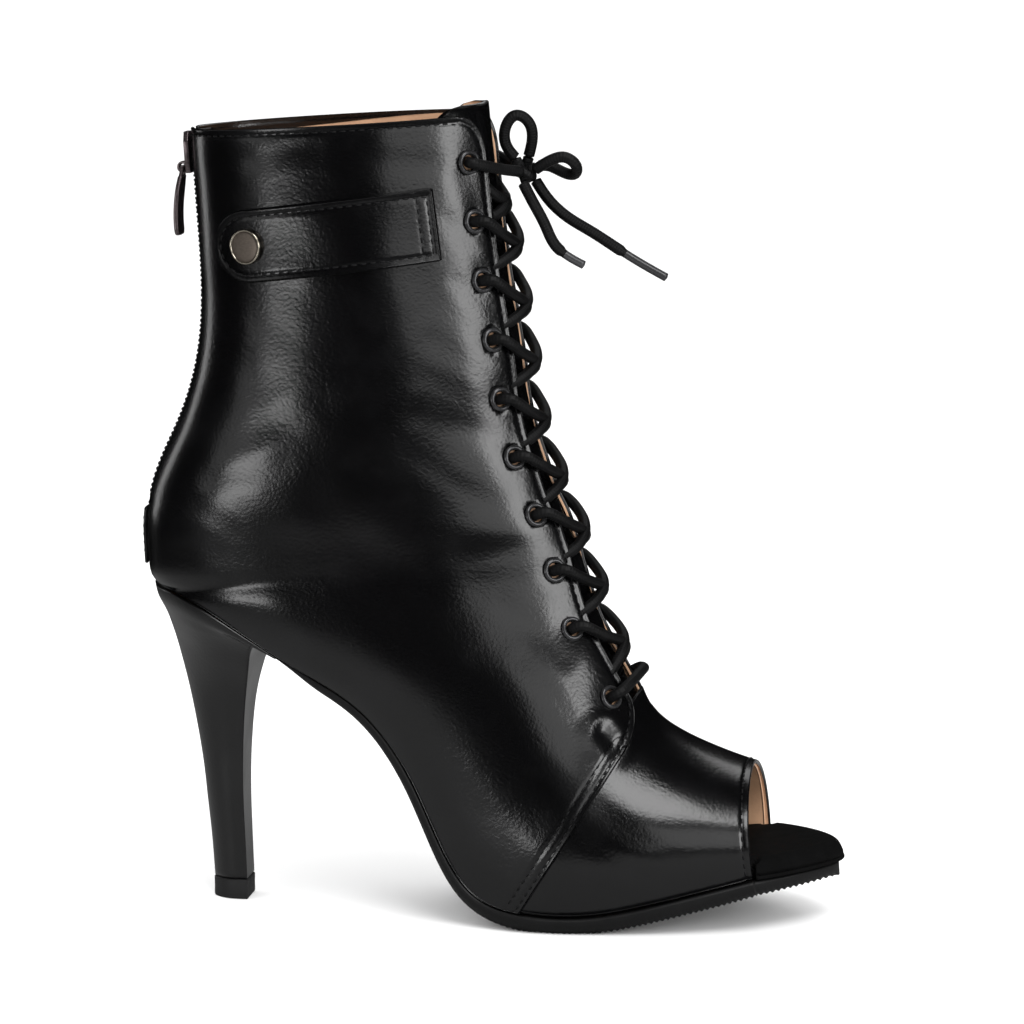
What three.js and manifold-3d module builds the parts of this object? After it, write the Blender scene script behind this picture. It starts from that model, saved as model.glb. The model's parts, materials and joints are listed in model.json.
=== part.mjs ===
// Peep toe ankle boot, right shoe, in millimetres with +Z up.
// The toe points along +X, the outer side of the foot is at -Y, and the sole stands on Z = 0.

import Module from 'manifold-3d';
import * as THREE from 'three';
import { mergeVertices } from 'three/addons/utils/BufferGeometryUtils.js';

const wasm = await Module();
wasm.setup();

// The last
const LAST_LENGTH = 221.2; // heel back to toe tip, along the floor
const HEEL_HEIGHT = 102.6; // floor to the back of the seat
const SHAFT_HEIGHT = 148.4; // back of the seat to the front of the collar
const BALL_WIDTH = 84; // across the upper at the ball

// Leather
const WALL = 1.8; // upper with its lining
const SEAM_STEP = 1; // how far the quarters stand above the vamp
const TONGUE_WALL = 1.6;
const FIT = 0.3; // clearance between pieces that meet

// Throat, eyelets and lace
const FACING_GAP = 24; // between the two facing edges
const COLLAR_ROUND = 7; // how far the top corner of each facing is rounded back
const COLLAR_CORNER = 12; // height of that rounding
const THROAT_ROUND = 13; // where each facing turns into the side seam
const VAMP_RISE = 9; // vamp above the side seam, between the facings
const TONGUE_WIDTH = 46;
const TONGUE_TAPER = 0.78; // its width at the seam as a share of that at the collar
const TONGUE_HOLLOW = 1.2;
const TONGUE_ABOVE = 2.6; // above the collar
const TONGUE_UNDER = 6.5; // under the vamp
const EYELET_PAIRS = 10;
const EYELET_BORE = 4.6;
const EYELET_METAL = 0.4;
const EYELET_LIP = 1.1; // how far the flange reaches past the barrel
const EYELET_DOME = 0.8; // height of the flange
const EYELET_INSET = 7; // facing edge to eyelet centre
const FIRST_EYELET = 14.6; // below the collar
const LAST_EYELET = 12.5; // above the side seam
const LACE = 3.6;
const KNOT = 9.2;
const KNOT_BELOW = 4; // knot below the first eyelets

// Strap and snap on the outer side
const STRAP_WIDTH = 21.6;
const STRAP_THICKNESS = 1.6;
const SNAP_DIAMETER = 10.8;
const SNAP_HEIGHT = 1.2;

// Zip up the back
const ZIP_GAP = 7; // slit between the quarters
const ZIP_TAPE = 14;
const ZIP_TAPE_THICKNESS = 0.8;
const ZIP_CHAIN = 5.2;
const ZIP_PROUD = 0.8; // chain above the leather
const ZIP_END = 23.4; // foot of the slit above the seat
const SLIDER_WIDTH = 8;
const SLIDER_LENGTH = 13;
const SLIDER_THICKNESS = 1.6;
const BRIDGE_WIDTH = 2.4;
const BRIDGE_METAL = 0.8;
const BAR = 0.9; // the pull tab's cross bar
const BAR_PLAY = 0.9; // free room around the bar's diagonal
const TAB_LENGTH = 21;
const TAB_WIDTH = 9;
const TAB_THICKNESS = 1.5;
const TAB_FLARE = 2.8; // how far the tab bows away from the leather
const PATCH_WIDTH = 14;
const PATCH_THICKNESS = 1.1;

// Sole, footbed and heel
const OUTSOLE = 5.6; // at the ball
const WAIST_SLIM = 0.62; // share of that thickness at the waist
const TOE_SLIM = 0.86; // share of it at the toe
const SHANK_CROWN = 1.2; // how far the waist of the sole is rounded
const SOLE_BEVEL = 3.6; // how far the sole's underside is drawn in
const SOLE_EDGE = 0.8; // sole beyond the upper at the ball
const WAIST_TUCK = 1; // sole inside the upper at the waist
const INSOLE = 3;
const BALL_PAD = 3; // extra footbed thickness under the ball and toes
const TOE_RISE = 1.8; // from the toe opening to the toe tip
const TIP_LENGTH = 11.6;
const TIP_WIDTH = 11.6;
const TOP_LIFT = 6.4;

// Rows of a table as objects with named columns
function table(columns, rows) {
  const names = columns.split(' ');
  return rows.map((row) => Object.fromEntries(names.map((name, i) => [name, row[i]])));
}

// Sections of the last, from the collar down the shaft, round the heel and out to the toe opening.
// Each is a chord from a back or bottom point to a front or top point.
// backX and frontX are shares of the length, rise is a share of the heel height above the sole,
// backUp and frontUp are shares of the shaft height, and half and sway are shares of the ball width.
// under says how much of the oval is cut off below, rear how much fuller it is behind its middle,
// and fore how much slimmer it is before it.
const SECTIONS = table('name backX frontX rise backUp frontUp half under rear fore sway', [
  ['collar', 0.071, 0.514, 1, 0.958, 1, 0.363, 0, 0.12, 0.09, 0],
  ['shaft', 0.079, 0.53, 1, 0.774, 0.778, 0.369, 0, 0.14, 0.14, 0],
  ['shaft', 0.084, 0.545, 1, 0.623, 0.626, 0.373, 0, 0.17, 0.16, 0],
  ['shaft', 0.076, 0.56, 1, 0.474, 0.485, 0.379, 0, 0.22, 0.13, 0],
  ['ankle', 0.046, 0.575, 1, 0.333, 0.353, 0.385, 0, 0.26, 0.14, 0],
  ['ankle', 0.015, 0.592, 1, 0.228, 0.269, 0.385, 0, 0.29, 0.07, 0],
  ['heel', 0.001, 0.609, 1, 0.124, 0.195, 0.379, 0, 0.34, 0, 0],
  ['heel', 0.002, 0.622, 1, 0.057, 0.151, 0.371, 0, 0.34, -0.08, 0],
  ['seat', 0.012, 0.632, 1, 0, 0.116, 0.367, 0, 0.34, -0.05, 0],
  ['instep', 0.042, 0.639, 0.986, 0, 0.1, 0.364, 0.035, 0.32, -0.03, -0.002],
  ['instep', 0.087, 0.648, 0.958, 0, 0.078, 0.362, 0.11, 0.26, 0, -0.006],
  ['instep', 0.159, 0.662, 0.866, 0, 0.074, 0.361, 0.18, 0.18, 0.05, -0.015],
  ['instep', 0.24, 0.675, 0.753, 0, 0.098, 0.361, 0.19, 0.12, 0.12, -0.025],
  ['waist', 0.326, 0.688, 0.625, 0, 0.135, 0.369, 0.17, 0.09, 0.16, -0.03],
  ['waist', 0.408, 0.702, 0.375, 0, 0.256, 0.393, 0.2, 0.06, 0.2, -0.028],
  ['waist', 0.489, 0.715, 0.057, 0, 0.418, 0.446, 0.26, 0.03, 0.22, -0.02],
  ['side seam', 0.559, 0.729, 0.001, 0, 0.404, 0.488, 0.36, 0, 0.15, -0.01],
  ['ball', 0.661, 0.769, -0.001, 0, 0.353, 0.5, 0.37, 0, 0.05, 0],
  ['toes', 0.765, 0.815, 0.049, 0, 0.287, 0.47, 0.4, 0, 0, 0.01],
  ['toe opening', 0.884, 0.871, 0.116, 0, 0.213, 0.393, 0.42, 0, 0, 0.016],
]);

// Sections of the heel below the seat. Every column is a share of the way from the seat to the tip:
// of the back line's and the front line's reach, of their drop, and of the half width.
// round is the share of the tip's own outline in the section.
const HEEL_SECTIONS = table('back front backDown frontDown slim round', [
  [0.047, 0.148, 0.04, 0.042, 0.03, 0.1],
  [0.221, 0.55, 0.118, 0.066, 0.237, 0.4],
  [0.372, 0.846, 0.213, 0.111, 0.54, 0.8],
  [0.512, 0.946, 0.317, 0.184, 0.747, 1],
  [0.651, 1.02, 0.438, 0.316, 0.869, 1],
  [0.797, 1.054, 0.6, 0.495, 0.939, 1],
  [0.878, 1.06, 0.736, 0.667, 0.97, 1],
  [0.948, 1.034, 0.862, 0.825, 0.99, 1],
  [1, 1, 1, 1, 1, 1],
]);

// Places on the last, as shares of its length and shaft height
const STRAP_REAR = { along: 0.128, up: 0.718 };
const STRAP_FRONT = { along: 0.434, up: 0.776 };
const SNAP_ALONG = 0.176;
const HEEL_BREAST = 0.21;
const TIP_CENTRE = 0.118;
const WAIST_END = 0.47;
const BALL_PAD_START = 0.49;
const BALL_PAD_FULL = 0.8;

// The free ends of the lace, from the knot's centre in mm: across the front, to the side, and up
const LOOP_UP_ROUTE = [
  [-2.7, -0.5, 4.1],
  [-5.4, -1.4, 8.2],
  [-5.2, -2.4, 13.8],
  [-2, -2.6, 17.2],
  [1.8, -1.9, 15],
  [2.7, -0.5, 9.8],
  [1.5, 0.5, 4.7],
];
const LOOP_SIDE_ROUTE = [
  [4.2, -2.5, 0.7],
  [8.6, -4.2, 3.4],
  [13.2, -4.4, 4.6],
  [16.6, -2.8, 2],
  [15.6, 0.6, -1],
  [11.4, 3, -0.4],
  [7.4, 3.7, 1.2],
  [4.3, 3, 1.3],
];
const END_SHORT_ROUTE = [
  [0.5, -3.6, -3.9],
  [3.8, -5.8, -9.4],
  [7.6, -7, -16],
  [10.8, -8, -22],
  [15.6, -9, -25.8],
  [20, -9.8, -28],
];
const END_LONG_ROUTE = [
  [3.7, 0.5, -3.2],
  [8, -0.6, -9],
  [14.2, -2, -14.2],
  [22, -3.2, -18.6],
  [33.6, -5, -25.6],
  [45.2, -6.8, -31.8],
];

const LATERAL = -1;
const MEDIAL = 1;
const BESIDE_SEAM = 0.2;
const STEP_WIDTH = 0.01; // in radians, the width of the step beside a facing edge
const SEAT_BACK = FIT + WALL + 2;

const UP = new THREE.Vector3(0, 0, 1);
const mix = THREE.MathUtils.lerp;
const smooth = (value, from, to) => THREE.MathUtils.smoothstep(value, from, to);
const spread = (from, to, steps) => Array.from({ length: steps + 1 }, (_, i) => mix(from, to, i / steps));

// Finds where a function that grows with its argument reaches a value.
function solve(grows, value, low, high) {
  for (let turn = 0; turn < 48; turn += 1) {
    const middle = (low + high) / 2;
    if (grows(middle) < value) low = middle;
    else high = middle;
  }
  return (low + high) / 2;
}

// A smooth curve through values at given places, straight beyond its ends.
function naturalSpline(places, values) {
  const last = places.length - 1;
  const bend = new Array(last + 1).fill(0);
  const ratio = new Array(last + 1).fill(0);
  for (let i = 1; i < last; i += 1) {
    const before = places[i] - places[i - 1];
    const after = places[i + 1] - places[i];
    const turn = 6 * ((values[i + 1] - values[i]) / after - (values[i] - values[i - 1]) / before);
    const pivot = 2 * (before + after) - before * ratio[i - 1];
    ratio[i] = after / pivot;
    bend[i] = (turn - before * bend[i - 1]) / pivot;
  }
  for (let i = last - 1; i > 0; i -= 1) bend[i] -= ratio[i] * bend[i + 1];
  return (place) => {
    let i = 0;
    while (i < last - 1 && place > places[i + 1]) i += 1;
    const width = places[i + 1] - places[i];
    const rise = (values[i + 1] - values[i]) / width;
    if (place < places[0]) return values[0] + (place - places[0]) * (rise - (width * bend[1]) / 6);
    if (place > places[last]) {
      return values[last] + (place - places[last]) * (rise + (width * bend[last - 1]) / 6);
    }
    const left = (places[i + 1] - place) / width;
    const right = (place - places[i]) / width;
    const curve = (left ** 3 - left) * bend[i] + (right ** 3 - right) * bend[i + 1];
    return left * values[i] + right * values[i + 1] + (curve * width * width) / 6;
  };
}

// The sections in millimetres
const SOLE_TOP = OUTSOLE + FIT;
const stations = SECTIONS.map((row) => {
  const floor = SOLE_TOP + row.rise * (HEEL_HEIGHT - SOLE_TOP);
  return {
    name: row.name,
    back: new THREE.Vector2(row.backX * LAST_LENGTH, floor + row.backUp * SHAFT_HEIGHT),
    front: new THREE.Vector2(row.frontX * LAST_LENGTH, floor + row.frontUp * SHAFT_HEIGHT),
    half: row.half * BALL_WIDTH,
    sway: row.sway * BALL_WIDTH,
    under: row.under,
    rear: row.rear,
    fore: row.fore,
  };
});

// A section's place is its distance from the collar, halfway between the back and front lines.
const places = [0];
for (let i = 1; i < stations.length; i += 1) {
  const behind = stations[i].back.distanceTo(stations[i - 1].back);
  const before = stations[i].front.distanceTo(stations[i - 1].front);
  places.push(places[i - 1] + (behind + before) / 2);
}
const placeOf = (name) => places[stations.findIndex((row) => row.name === name)];
const columnSpline = (read) => naturalSpline(places, stations.map(read));
const line = {
  backX: columnSpline((row) => row.back.x),
  backZ: columnSpline((row) => row.back.y),
  frontX: columnSpline((row) => row.front.x),
  frontZ: columnSpline((row) => row.front.y),
  half: columnSpline((row) => row.half),
  sway: columnSpline((row) => row.sway),
  under: columnSpline((row) => row.under),
  rear: columnSpline((row) => row.rear),
  fore: columnSpline((row) => row.fore),
};

const COLLAR = 0;
const SEAT = placeOf('seat');
const SEAM = placeOf('side seam');
const OPENING = placeOf('toe opening');
const ZIP_FOOT = solve((place) => -line.backZ(place), -(HEEL_HEIGHT + ZIP_END), COLLAR, SEAT);

const ABOVE_COLLAR = -40;

const underAt = (place) => (place <= SEAT ? 0 : Math.max(0, line.under(place)));

// The last's surface: an oval section, its angle 0 at the front and growing to the inner side.
function lastPoint(place, angle) {
  const under = underAt(place);
  const up = ((1 + under) * (1 + Math.cos(angle))) / 2 - under;
  const behind = Math.max(0, 1 - 2 * up) ** 2;
  const before = Math.max(0, 2 * up - 1) ** 2;
  const full = 1 + line.rear(place) * behind - line.fore(place) * before;
  return new THREE.Vector3(
    mix(line.backX(place), line.frontX(place), up),
    line.sway(place) + line.half(place) * Math.sin(angle) * full,
    mix(line.backZ(place), line.frontZ(place), up),
  );
}

function lastNormal(place, angle) {
  const along = lastPoint(place + 0.5, angle).sub(lastPoint(place - 0.5, angle));
  const round = lastPoint(place, angle + 0.01).sub(lastPoint(place, angle - 0.01));
  return along.cross(round).normalize();
}

// A point that lies a given distance outside the last's surface.
function skin(place, angle, out) {
  return lastPoint(place, angle).addScaledVector(lastNormal(place, angle), out);
}

// The angle at which a section is cut off below
const featherAngle = (place) => Math.acos((2 * underAt(place)) / (1 + underAt(place)) - 1);
const halfAt = (place, angle) => lastPoint(place, angle).y - line.sway(place);

// The angle, on the front or the back of a section, of a point at a given distance from its middle
const frontAngle = (place, y) =>
  Math.sign(y) * solve((angle) => halfAt(place, angle), Math.abs(y), 0, Math.PI / 2);
const backAngle = (place, y) =>
  Math.PI - Math.sign(y) * solve((turn) => halfAt(place, Math.PI - turn), Math.abs(y), 0, Math.PI / 2);

// The place and angle of a point of the outer side, seen from that side
function outerSide(x, z) {
  const rear = (place) => new THREE.Vector2(line.backX(place), line.backZ(place));
  const across = (place) => new THREE.Vector2(line.frontX(place), line.frontZ(place)).sub(rear(place));
  const spot = new THREE.Vector2(x, z);
  const place = solve((at) => across(at).cross(spot.clone().sub(rear(at))), 0, ABOVE_COLLAR, SEAT);
  const chord = across(place);
  const up = spot.sub(rear(place)).dot(chord) / chord.lengthSq();
  return { place, angle: LATERAL * Math.acos(2 * up - 1) };
}

// A frame on the last's surface: X to the side, Y up along the leather and Z straight out
function fitting(place, angle, out) {
  const normal = lastNormal(place, angle);
  const upward = lastPoint(place - 0.5, angle).sub(lastPoint(place + 0.5, angle));
  const side = upward.clone().cross(normal).normalize();
  const frame = new THREE.Matrix4().makeBasis(side, normal.clone().cross(side), normal);
  return frame.setPosition(skin(place, angle, out));
}

// Closed meshes as solids, and back
function toSolid(geometry) {
  const bare = geometry.clone();
  bare.deleteAttribute('normal');
  bare.deleteAttribute('uv');
  const merged = mergeVertices(bare, 1e-4);
  const triVerts = [];
  for (let i = 0; i < merged.index.count; i += 3) {
    const [a, b, c] = [0, 1, 2].map((k) => merged.index.getX(i + k));
    if (a !== b && b !== c && c !== a) triVerts.push(a, b, c);
  }
  return new wasm.Manifold(new wasm.Mesh({
    numProp: 3,
    vertProperties: new Float32Array(merged.attributes.position.array),
    triVerts: new Uint32Array(triVerts),
  }));
}

function toGeometry(solid) {
  const mesh = solid.getMesh();
  const geometry = new THREE.BufferGeometry();
  geometry.setAttribute('position', new THREE.BufferAttribute(new Float32Array(mesh.vertProperties), 3));
  geometry.setIndex([...mesh.triVerts]);
  geometry.computeVertexNormals();
  return geometry;
}

function indexed(points, triangles) {
  const geometry = new THREE.BufferGeometry();
  geometry.setAttribute('position', new THREE.Float32BufferAttribute(points.flatMap((p) => p.toArray()), 3));
  geometry.setIndex(triangles.flat());
  return geometry;
}

// A wall between two matching grids of points, each row running along the first one's outer face.
// Grid points that lie in one place are joined, and open edges get side faces.
function shell(outer, inner, keeps = () => true) {
  const points = [];
  const twins = [];
  const known = new Map();
  const number = (i, j) => {
    const point = outer[i][j];
    const key = point.toArray().map((value) => Math.round(value * 1e4)).join(' ');
    if (!known.has(key)) {
      known.set(key, points.length);
      points.push(point);
      twins.push(inner[i][j]);
    }
    return known.get(key);
  };
  const faces = [];
  for (let i = 0; i < outer.length - 1; i += 1) {
    for (let j = 0; j < outer[i].length - 1; j += 1) {
      if (!keeps(i, j)) continue;
      const [a, b, c, d] = [number(i, j), number(i + 1, j), number(i + 1, j + 1), number(i, j + 1)];
      for (const face of [[a, b, c], [a, c, d]]) if (new Set(face).size === 3) faces.push(face);
    }
  }
  const edges = new Set(faces.flatMap(([a, b, c]) => [`${a} ${b}`, `${b} ${c}`, `${c} ${a}`]));
  const pairs = [...edges].map((edge) => edge.split(' ').map(Number));
  const open = pairs.filter(([a, b]) => !edges.has(`${b} ${a}`));
  const count = points.length;
  const inside = faces.map(([a, b, c]) => [c + count, b + count, a + count]);
  const sides = open.flatMap(([a, b]) => [[b, a, a + count], [b, a + count, b + count]]);
  return indexed([...points, ...twins], [...faces, ...inside, ...sides]);
}

// A body through rings of points. Each ring starts at its back, and its two halves mirror each other.
function loft(rings) {
  const size = rings[0].length;
  const next = (i) => (i + 1) % size;
  const triangles = [];
  for (let row = 0; row < rings.length - 1; row += 1) {
    const [high, low] = [row * size, (row + 1) * size];
    for (let i = 0; i < size; i += 1) {
      triangles.push([high + i, low + i, low + next(i)], [high + i, low + next(i), high + next(i)]);
    }
  }
  const bottom = (rings.length - 1) * size;
  for (let i = 0; i < size / 2; i += 1) {
    const [a, b, c, d] = [i, i + 1, (size - i - 1) % size, (size - i) % size];
    for (const [i1, i2, i3] of [[a, b, c], [a, c, d]]) {
      triangles.push([i1, i2, i3], [bottom + i1, bottom + i3, bottom + i2]);
    }
  }
  return indexed(rings.flat(), triangles);
}

function tube(route, diameter, sides, steps) {
  const corners = Array.from({ length: sides }, (_, i) => {
    const turn = (i * 2 * Math.PI) / sides;
    return new THREE.Vector2(Math.cos(turn), Math.sin(turn)).multiplyScalar(diameter / 2);
  });
  const extrudePath = new THREE.CatmullRomCurve3(route, false, 'centripetal');
  return new THREE.ExtrudeGeometry(new THREE.Shape(corners), { steps, bevelEnabled: false, extrudePath });
}

// A ring or disc about Z from a closed outline of radius and height
function turned(outline, segments) {
  const profile = [...outline, outline[0]].map(([radius, height]) => new THREE.Vector2(radius, height));
  return new THREE.LatheGeometry(profile, segments).rotateX(Math.PI / 2);
}

const boot = new THREE.Group();

function addPiece(name, geometry, finish, matrix) {
  const mesh = new THREE.Mesh(toGeometry(toSolid(geometry)), new THREE.MeshStandardMaterial(finish));
  mesh.name = name;
  if (matrix) matrix.decompose(mesh.position, mesh.quaternion, mesh.scale);
  boot.add(mesh);
  return mesh;
}

const LEATHER = { color: '#101012', roughness: 0.28, metalness: 0 };
const SUEDE = { color: '#0b0b0c', roughness: 0.95, metalness: 0 };
const RUBBER = { color: '#232427', roughness: 0.7, metalness: 0 };
const CORD = { color: '#141415', roughness: 0.9, metalness: 0 };
const ENAMEL = { color: '#17171a', roughness: 0.3, metalness: 0.8 };
const GUNMETAL = { color: '#4a4347', roughness: 0.32, metalness: 0.9 };
const BRONZE = { color: '#5a5045', roughness: 0.35, metalness: 0.9 };
const TAPE = { color: '#18181a', roughness: 0.85, metalness: 0 };

// Eyelets lie at an even pitch along the throat, a set distance behind the facing edge.
const rounding = (share) => 1 - Math.sqrt(1 - THREE.MathUtils.clamp(share, 0, 1) ** 2);
const facingEdge = (place) => {
  const top = COLLAR_ROUND * rounding(1 - place / COLLAR_CORNER);
  const bottom = THROAT_ROUND * rounding(1 - (SEAM - place) / THROAT_ROUND);
  return FACING_GAP / 2 + top + bottom;
};
const edgePlaces = spread(COLLAR, SEAM, 60);
const edgeLengths = [0];
for (let i = 1; i < edgePlaces.length; i += 1) {
  const [from, to] = [edgePlaces[i - 1], edgePlaces[i]].map((place) => lastPoint(place, 0));
  edgeLengths.push(edgeLengths[i - 1] + from.distanceTo(to));
}
const edgePlace = naturalSpline(edgeLengths, edgePlaces);
const PITCH = (edgeLengths.at(-1) - FIRST_EYELET - LAST_EYELET) / (EYELET_PAIRS - 1);
const eyeletPlaces = Array.from({ length: EYELET_PAIRS }, (_, i) => edgePlace(FIRST_EYELET + i * PITCH));

function eyeletAngle(place, side) {
  const edge = frontAngle(place, FACING_GAP / 2);
  const corner = lastPoint(place, edge);
  return side * solve((angle) => lastPoint(place, angle).distanceTo(corner), EYELET_INSET, edge, Math.PI / 2);
}
const BARREL = EYELET_BORE / 2 + EYELET_METAL;
const EYELET_TOP = FIT + EYELET_DOME;

// Upper: quarters and shaft above the side seam, vamp below it, in one hollow wall
const COLUMNS = 12;
const EDGE_COLUMN = 3;

function columnAngle(place, column) {
  const edge = frontAngle(place, facingEdge(Math.min(place, SEAM)));
  const feather = featherAngle(place);
  const even = (feather - edge) / (COLUMNS - EDGE_COLUMN);
  const slit = place < SEAT ? Math.PI - backAngle(place, ZIP_GAP / 2) : even;
  const lastCell = mix(slit, even, smooth(place, ZIP_FOOT + 4, SEAT));
  const turn = Math.abs(column);
  if (turn === COLUMNS) return Math.sign(column) * feather;
  if (turn >= EDGE_COLUMN) {
    const share = (turn - EDGE_COLUMN) / (COLUMNS - 1 - EDGE_COLUMN);
    return Math.sign(column) * mix(edge, feather - lastCell, share);
  }
  return Math.sign(column) * (edge - STEP_WIDTH) * (turn / (EDGE_COLUMN - 1));
}

function upperSolid() {
  const rows = [
    ...[COLLAR, 1.5, 4.5, 9],
    ...spread(16, ZIP_FOOT, 8),
    ...spread(ZIP_FOOT, SEAT, 3).slice(1),
    ...[SEAT + 0.8, SEAT + 3, SEAT + 7],
    ...spread(SEAT + 13, SEAM - THROAT_ROUND, 8),
    ...[SEAM - VAMP_RISE, SEAM - 5, SEAM - 2, SEAM - BESIDE_SEAM],
    ...spread(SEAM + BESIDE_SEAM, OPENING, 6),
  ];
  const columns = spread(-COLUMNS, COLUMNS, 2 * COLUMNS).map(Math.round);
  const drop = (place, j) => (place > SEAM || Math.abs(j) < EDGE_COLUMN ? SEAM_STEP : 0);
  const face = (place, j, depth) => skin(place, columnAngle(place, j), -drop(place, j) - depth);
  const outer = rows.map((place) => columns.map((j) => face(place, j, 0)));
  const inner = rows.map((place) => columns.map((j) => face(place, j, WALL)));
  const keeps = (i, j) => {
    if (j === 0 || j === 2 * COLUMNS - 1) return rows[i] > ZIP_FOOT - BESIDE_SEAM;
    if (Math.abs(j + 0.5 - COLUMNS) < EDGE_COLUMN) return rows[i] > SEAM - VAMP_RISE - BESIDE_SEAM;
    return true;
  };
  let solid = toSolid(shell(outer, inner, keeps));
  const hole = new THREE.CylinderGeometry(BARREL + FIT, BARREL + FIT, 3 * WALL, 8).rotateX(Math.PI / 2);
  for (const side of [LATERAL, MEDIAL]) {
    for (const place of eyeletPlaces) {
      const cutter = hole.clone().applyMatrix4(fitting(place, eyeletAngle(place, side), -WALL / 2));
      solid = solid.subtract(toSolid(cutter));
    }
  }
  return solid;
}
addPiece('upper', toGeometry(upperSolid()), LEATHER);

// Tongue: behind the facings, a little hollow in the middle, its foot under the vamp
const TONGUE_DEPTH = WALL + SEAM_STEP + 2 * FIT;

function tonguePoint(place, share, deeper) {
  const half = (TONGUE_WIDTH / 2) * mix(1, TONGUE_TAPER, smooth(place, COLLAR, SEAM));
  const reach = Math.min(half, line.half(place) - TONGUE_DEPTH - 2 * TONGUE_WALL);
  const hollow = (1 - share * share) * mix(TONGUE_HOLLOW, FIT, smooth(place, SEAM - 20, SEAM));
  return skin(place, frontAngle(place, share * reach), -TONGUE_DEPTH - hollow - deeper);
}
const tongueRows = [
  ...spread(COLLAR - TONGUE_ABOVE, SEAM - 2 * TONGUE_UNDER, 13),
  ...spread(SEAM - TONGUE_UNDER, SEAM + TONGUE_UNDER, 3),
];
const tongueShares = spread(-1, 1, 5);
addPiece(
  'tongue',
  shell(
    tongueRows.map((place) => tongueShares.map((share) => tonguePoint(place, share, 0))),
    tongueRows.map((place) => tongueShares.map((share) => tonguePoint(place, share, TONGUE_WALL))),
  ),
  LEATHER,
);

const eyelet = turned(
  [
    [EYELET_BORE / 2, -WALL],
    [BARREL, -WALL],
    [BARREL, FIT],
    [BARREL + EYELET_LIP, FIT],
    [BARREL + EYELET_LIP * 0.4, EYELET_TOP],
    [EYELET_BORE / 2, EYELET_TOP],
  ],
  8,
);
for (const [side, word] of [[LATERAL, 'lateral'], [MEDIAL, 'medial']]) {
  eyeletPlaces.forEach((place, i) => {
    addPiece(`eyelet_${word}_${i + 1}`, eyelet, ENAMEL, fitting(place, eyeletAngle(place, side), 0));
  });
}

// Lace: each crossing leaves its eyelet outside and dives under the opposite facing
const OVER_EYELET = EYELET_TOP + 2 * FIT + LACE / 2;
const OVER_EDGE = FIT + LACE / 2 + 0.4;
const IN_GAP = -FIT;
const ON_TONGUE = LACE / 2 + 2 * FIT - TONGUE_DEPTH - TONGUE_HOLLOW;
const LACE_SIDES = 8;
const edgeStop = FACING_GAP / 2 - LACE / 2 - 1;

// Where a crossing passes the first edge, the middle and the second edge, as shares of the pitch.
// The topmost crossing lies on the tongue between the facings.
const CROSSING = { first: 0.2, middle: 0.46, second: 0.68, sag: 3 };
const TOP_CROSSING = { first: 0.56, middle: 0.7, second: 0.92 };

const gapPoint = (place, y, out) => skin(place, frontAngle(place, y), out);
const overEyelet = (i, side) => skin(eyeletPlaces[i], eyeletAngle(eyeletPlaces[i], side), OVER_EYELET);

const belowEyelet = (i, share) => edgePlace(FIRST_EYELET + (i + share) * PITCH);

function crossingArm(i, side) {
  return toSolid(tube([
    overEyelet(i, side),
    gapPoint(belowEyelet(i, CROSSING.first), (side * FACING_GAP) / 2, OVER_EDGE),
    gapPoint(belowEyelet(i, CROSSING.middle), 0, OVER_EDGE - CROSSING.sag),
    gapPoint(belowEyelet(i, CROSSING.second), -side * edgeStop, IN_GAP),
  ], LACE, 6, 4));
}

function topCrossingArm(i, side) {
  return toSolid(tube([
    gapPoint(belowEyelet(i, TOP_CROSSING.first), side * edgeStop, ON_TONGUE + FIT),
    gapPoint(belowEyelet(i, TOP_CROSSING.middle), 0, ON_TONGUE),
    gapPoint(belowEyelet(i, TOP_CROSSING.second), -side * edgeStop, ON_TONGUE + FIT),
  ], LACE, 6, 4));
}
for (let i = 0; i < EYELET_PAIRS - 1; i += 1) {
  const arm = i === 0 ? topCrossingArm : crossingArm;
  const crossing = arm(i, LATERAL).add(arm(i, MEDIAL));
  addPiece(`lace_cross_${i + 1}`, toGeometry(crossing), CORD);
}

const foot = EYELET_PAIRS - 1;
const barRoute = [
  overEyelet(foot, LATERAL),
  gapPoint(eyeletPlaces[foot] + 0.6, -FACING_GAP / 2, OVER_EDGE),
  gapPoint(eyeletPlaces[foot] + 1, 0, OVER_EDGE - 1),
  gapPoint(eyeletPlaces[foot] + 0.6, FACING_GAP / 2, OVER_EDGE),
  overEyelet(foot, MEDIAL),
];
addPiece('lace_bar', tube(barRoute, LACE, LACE_SIDES, 8), CORD);

// Knot, with the two top lengths that reach it from the first eyelets
const knotCentre = gapPoint(eyeletPlaces[0] + KNOT_BELOW, 0, KNOT / 2 - FIT);
for (const [side, word] of [[LATERAL, 'lateral'], [MEDIAL, 'medial']]) {
  const route = [
    overEyelet(0, side),
    gapPoint(eyeletPlaces[0] + KNOT_BELOW / 2, (side * FACING_GAP) / 2, OVER_EDGE + 0.4),
    knotCentre.clone().add(new THREE.Vector3(-0.6, side * (KNOT / 2 + 2 * FIT), 0)),
  ];
  addPiece(`lace_top_${word}`, tube(route, LACE, LACE_SIDES, 4), CORD);
}
addPiece('lace_knot', new THREE.SphereGeometry(KNOT / 2, 12, 8).translate(...knotCentre.toArray()), CORD);

const freeEnds = {
  lace_loop_up: { route: LOOP_UP_ROUTE, steps: 12 },
  lace_loop_side: { route: LOOP_SIDE_ROUTE, steps: 14 },
  lace_end_short: { route: END_SHORT_ROUTE, steps: 8 },
  lace_end_long: { route: END_LONG_ROUTE, steps: 10 },
};
for (const [name, end] of Object.entries(freeEnds)) {
  const route = end.route.map((offset) => knotCentre.clone().add(new THREE.Vector3(...offset)));
  addPiece(name, tube(route, LACE, LACE_SIDES, end.steps), CORD);
}

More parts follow.
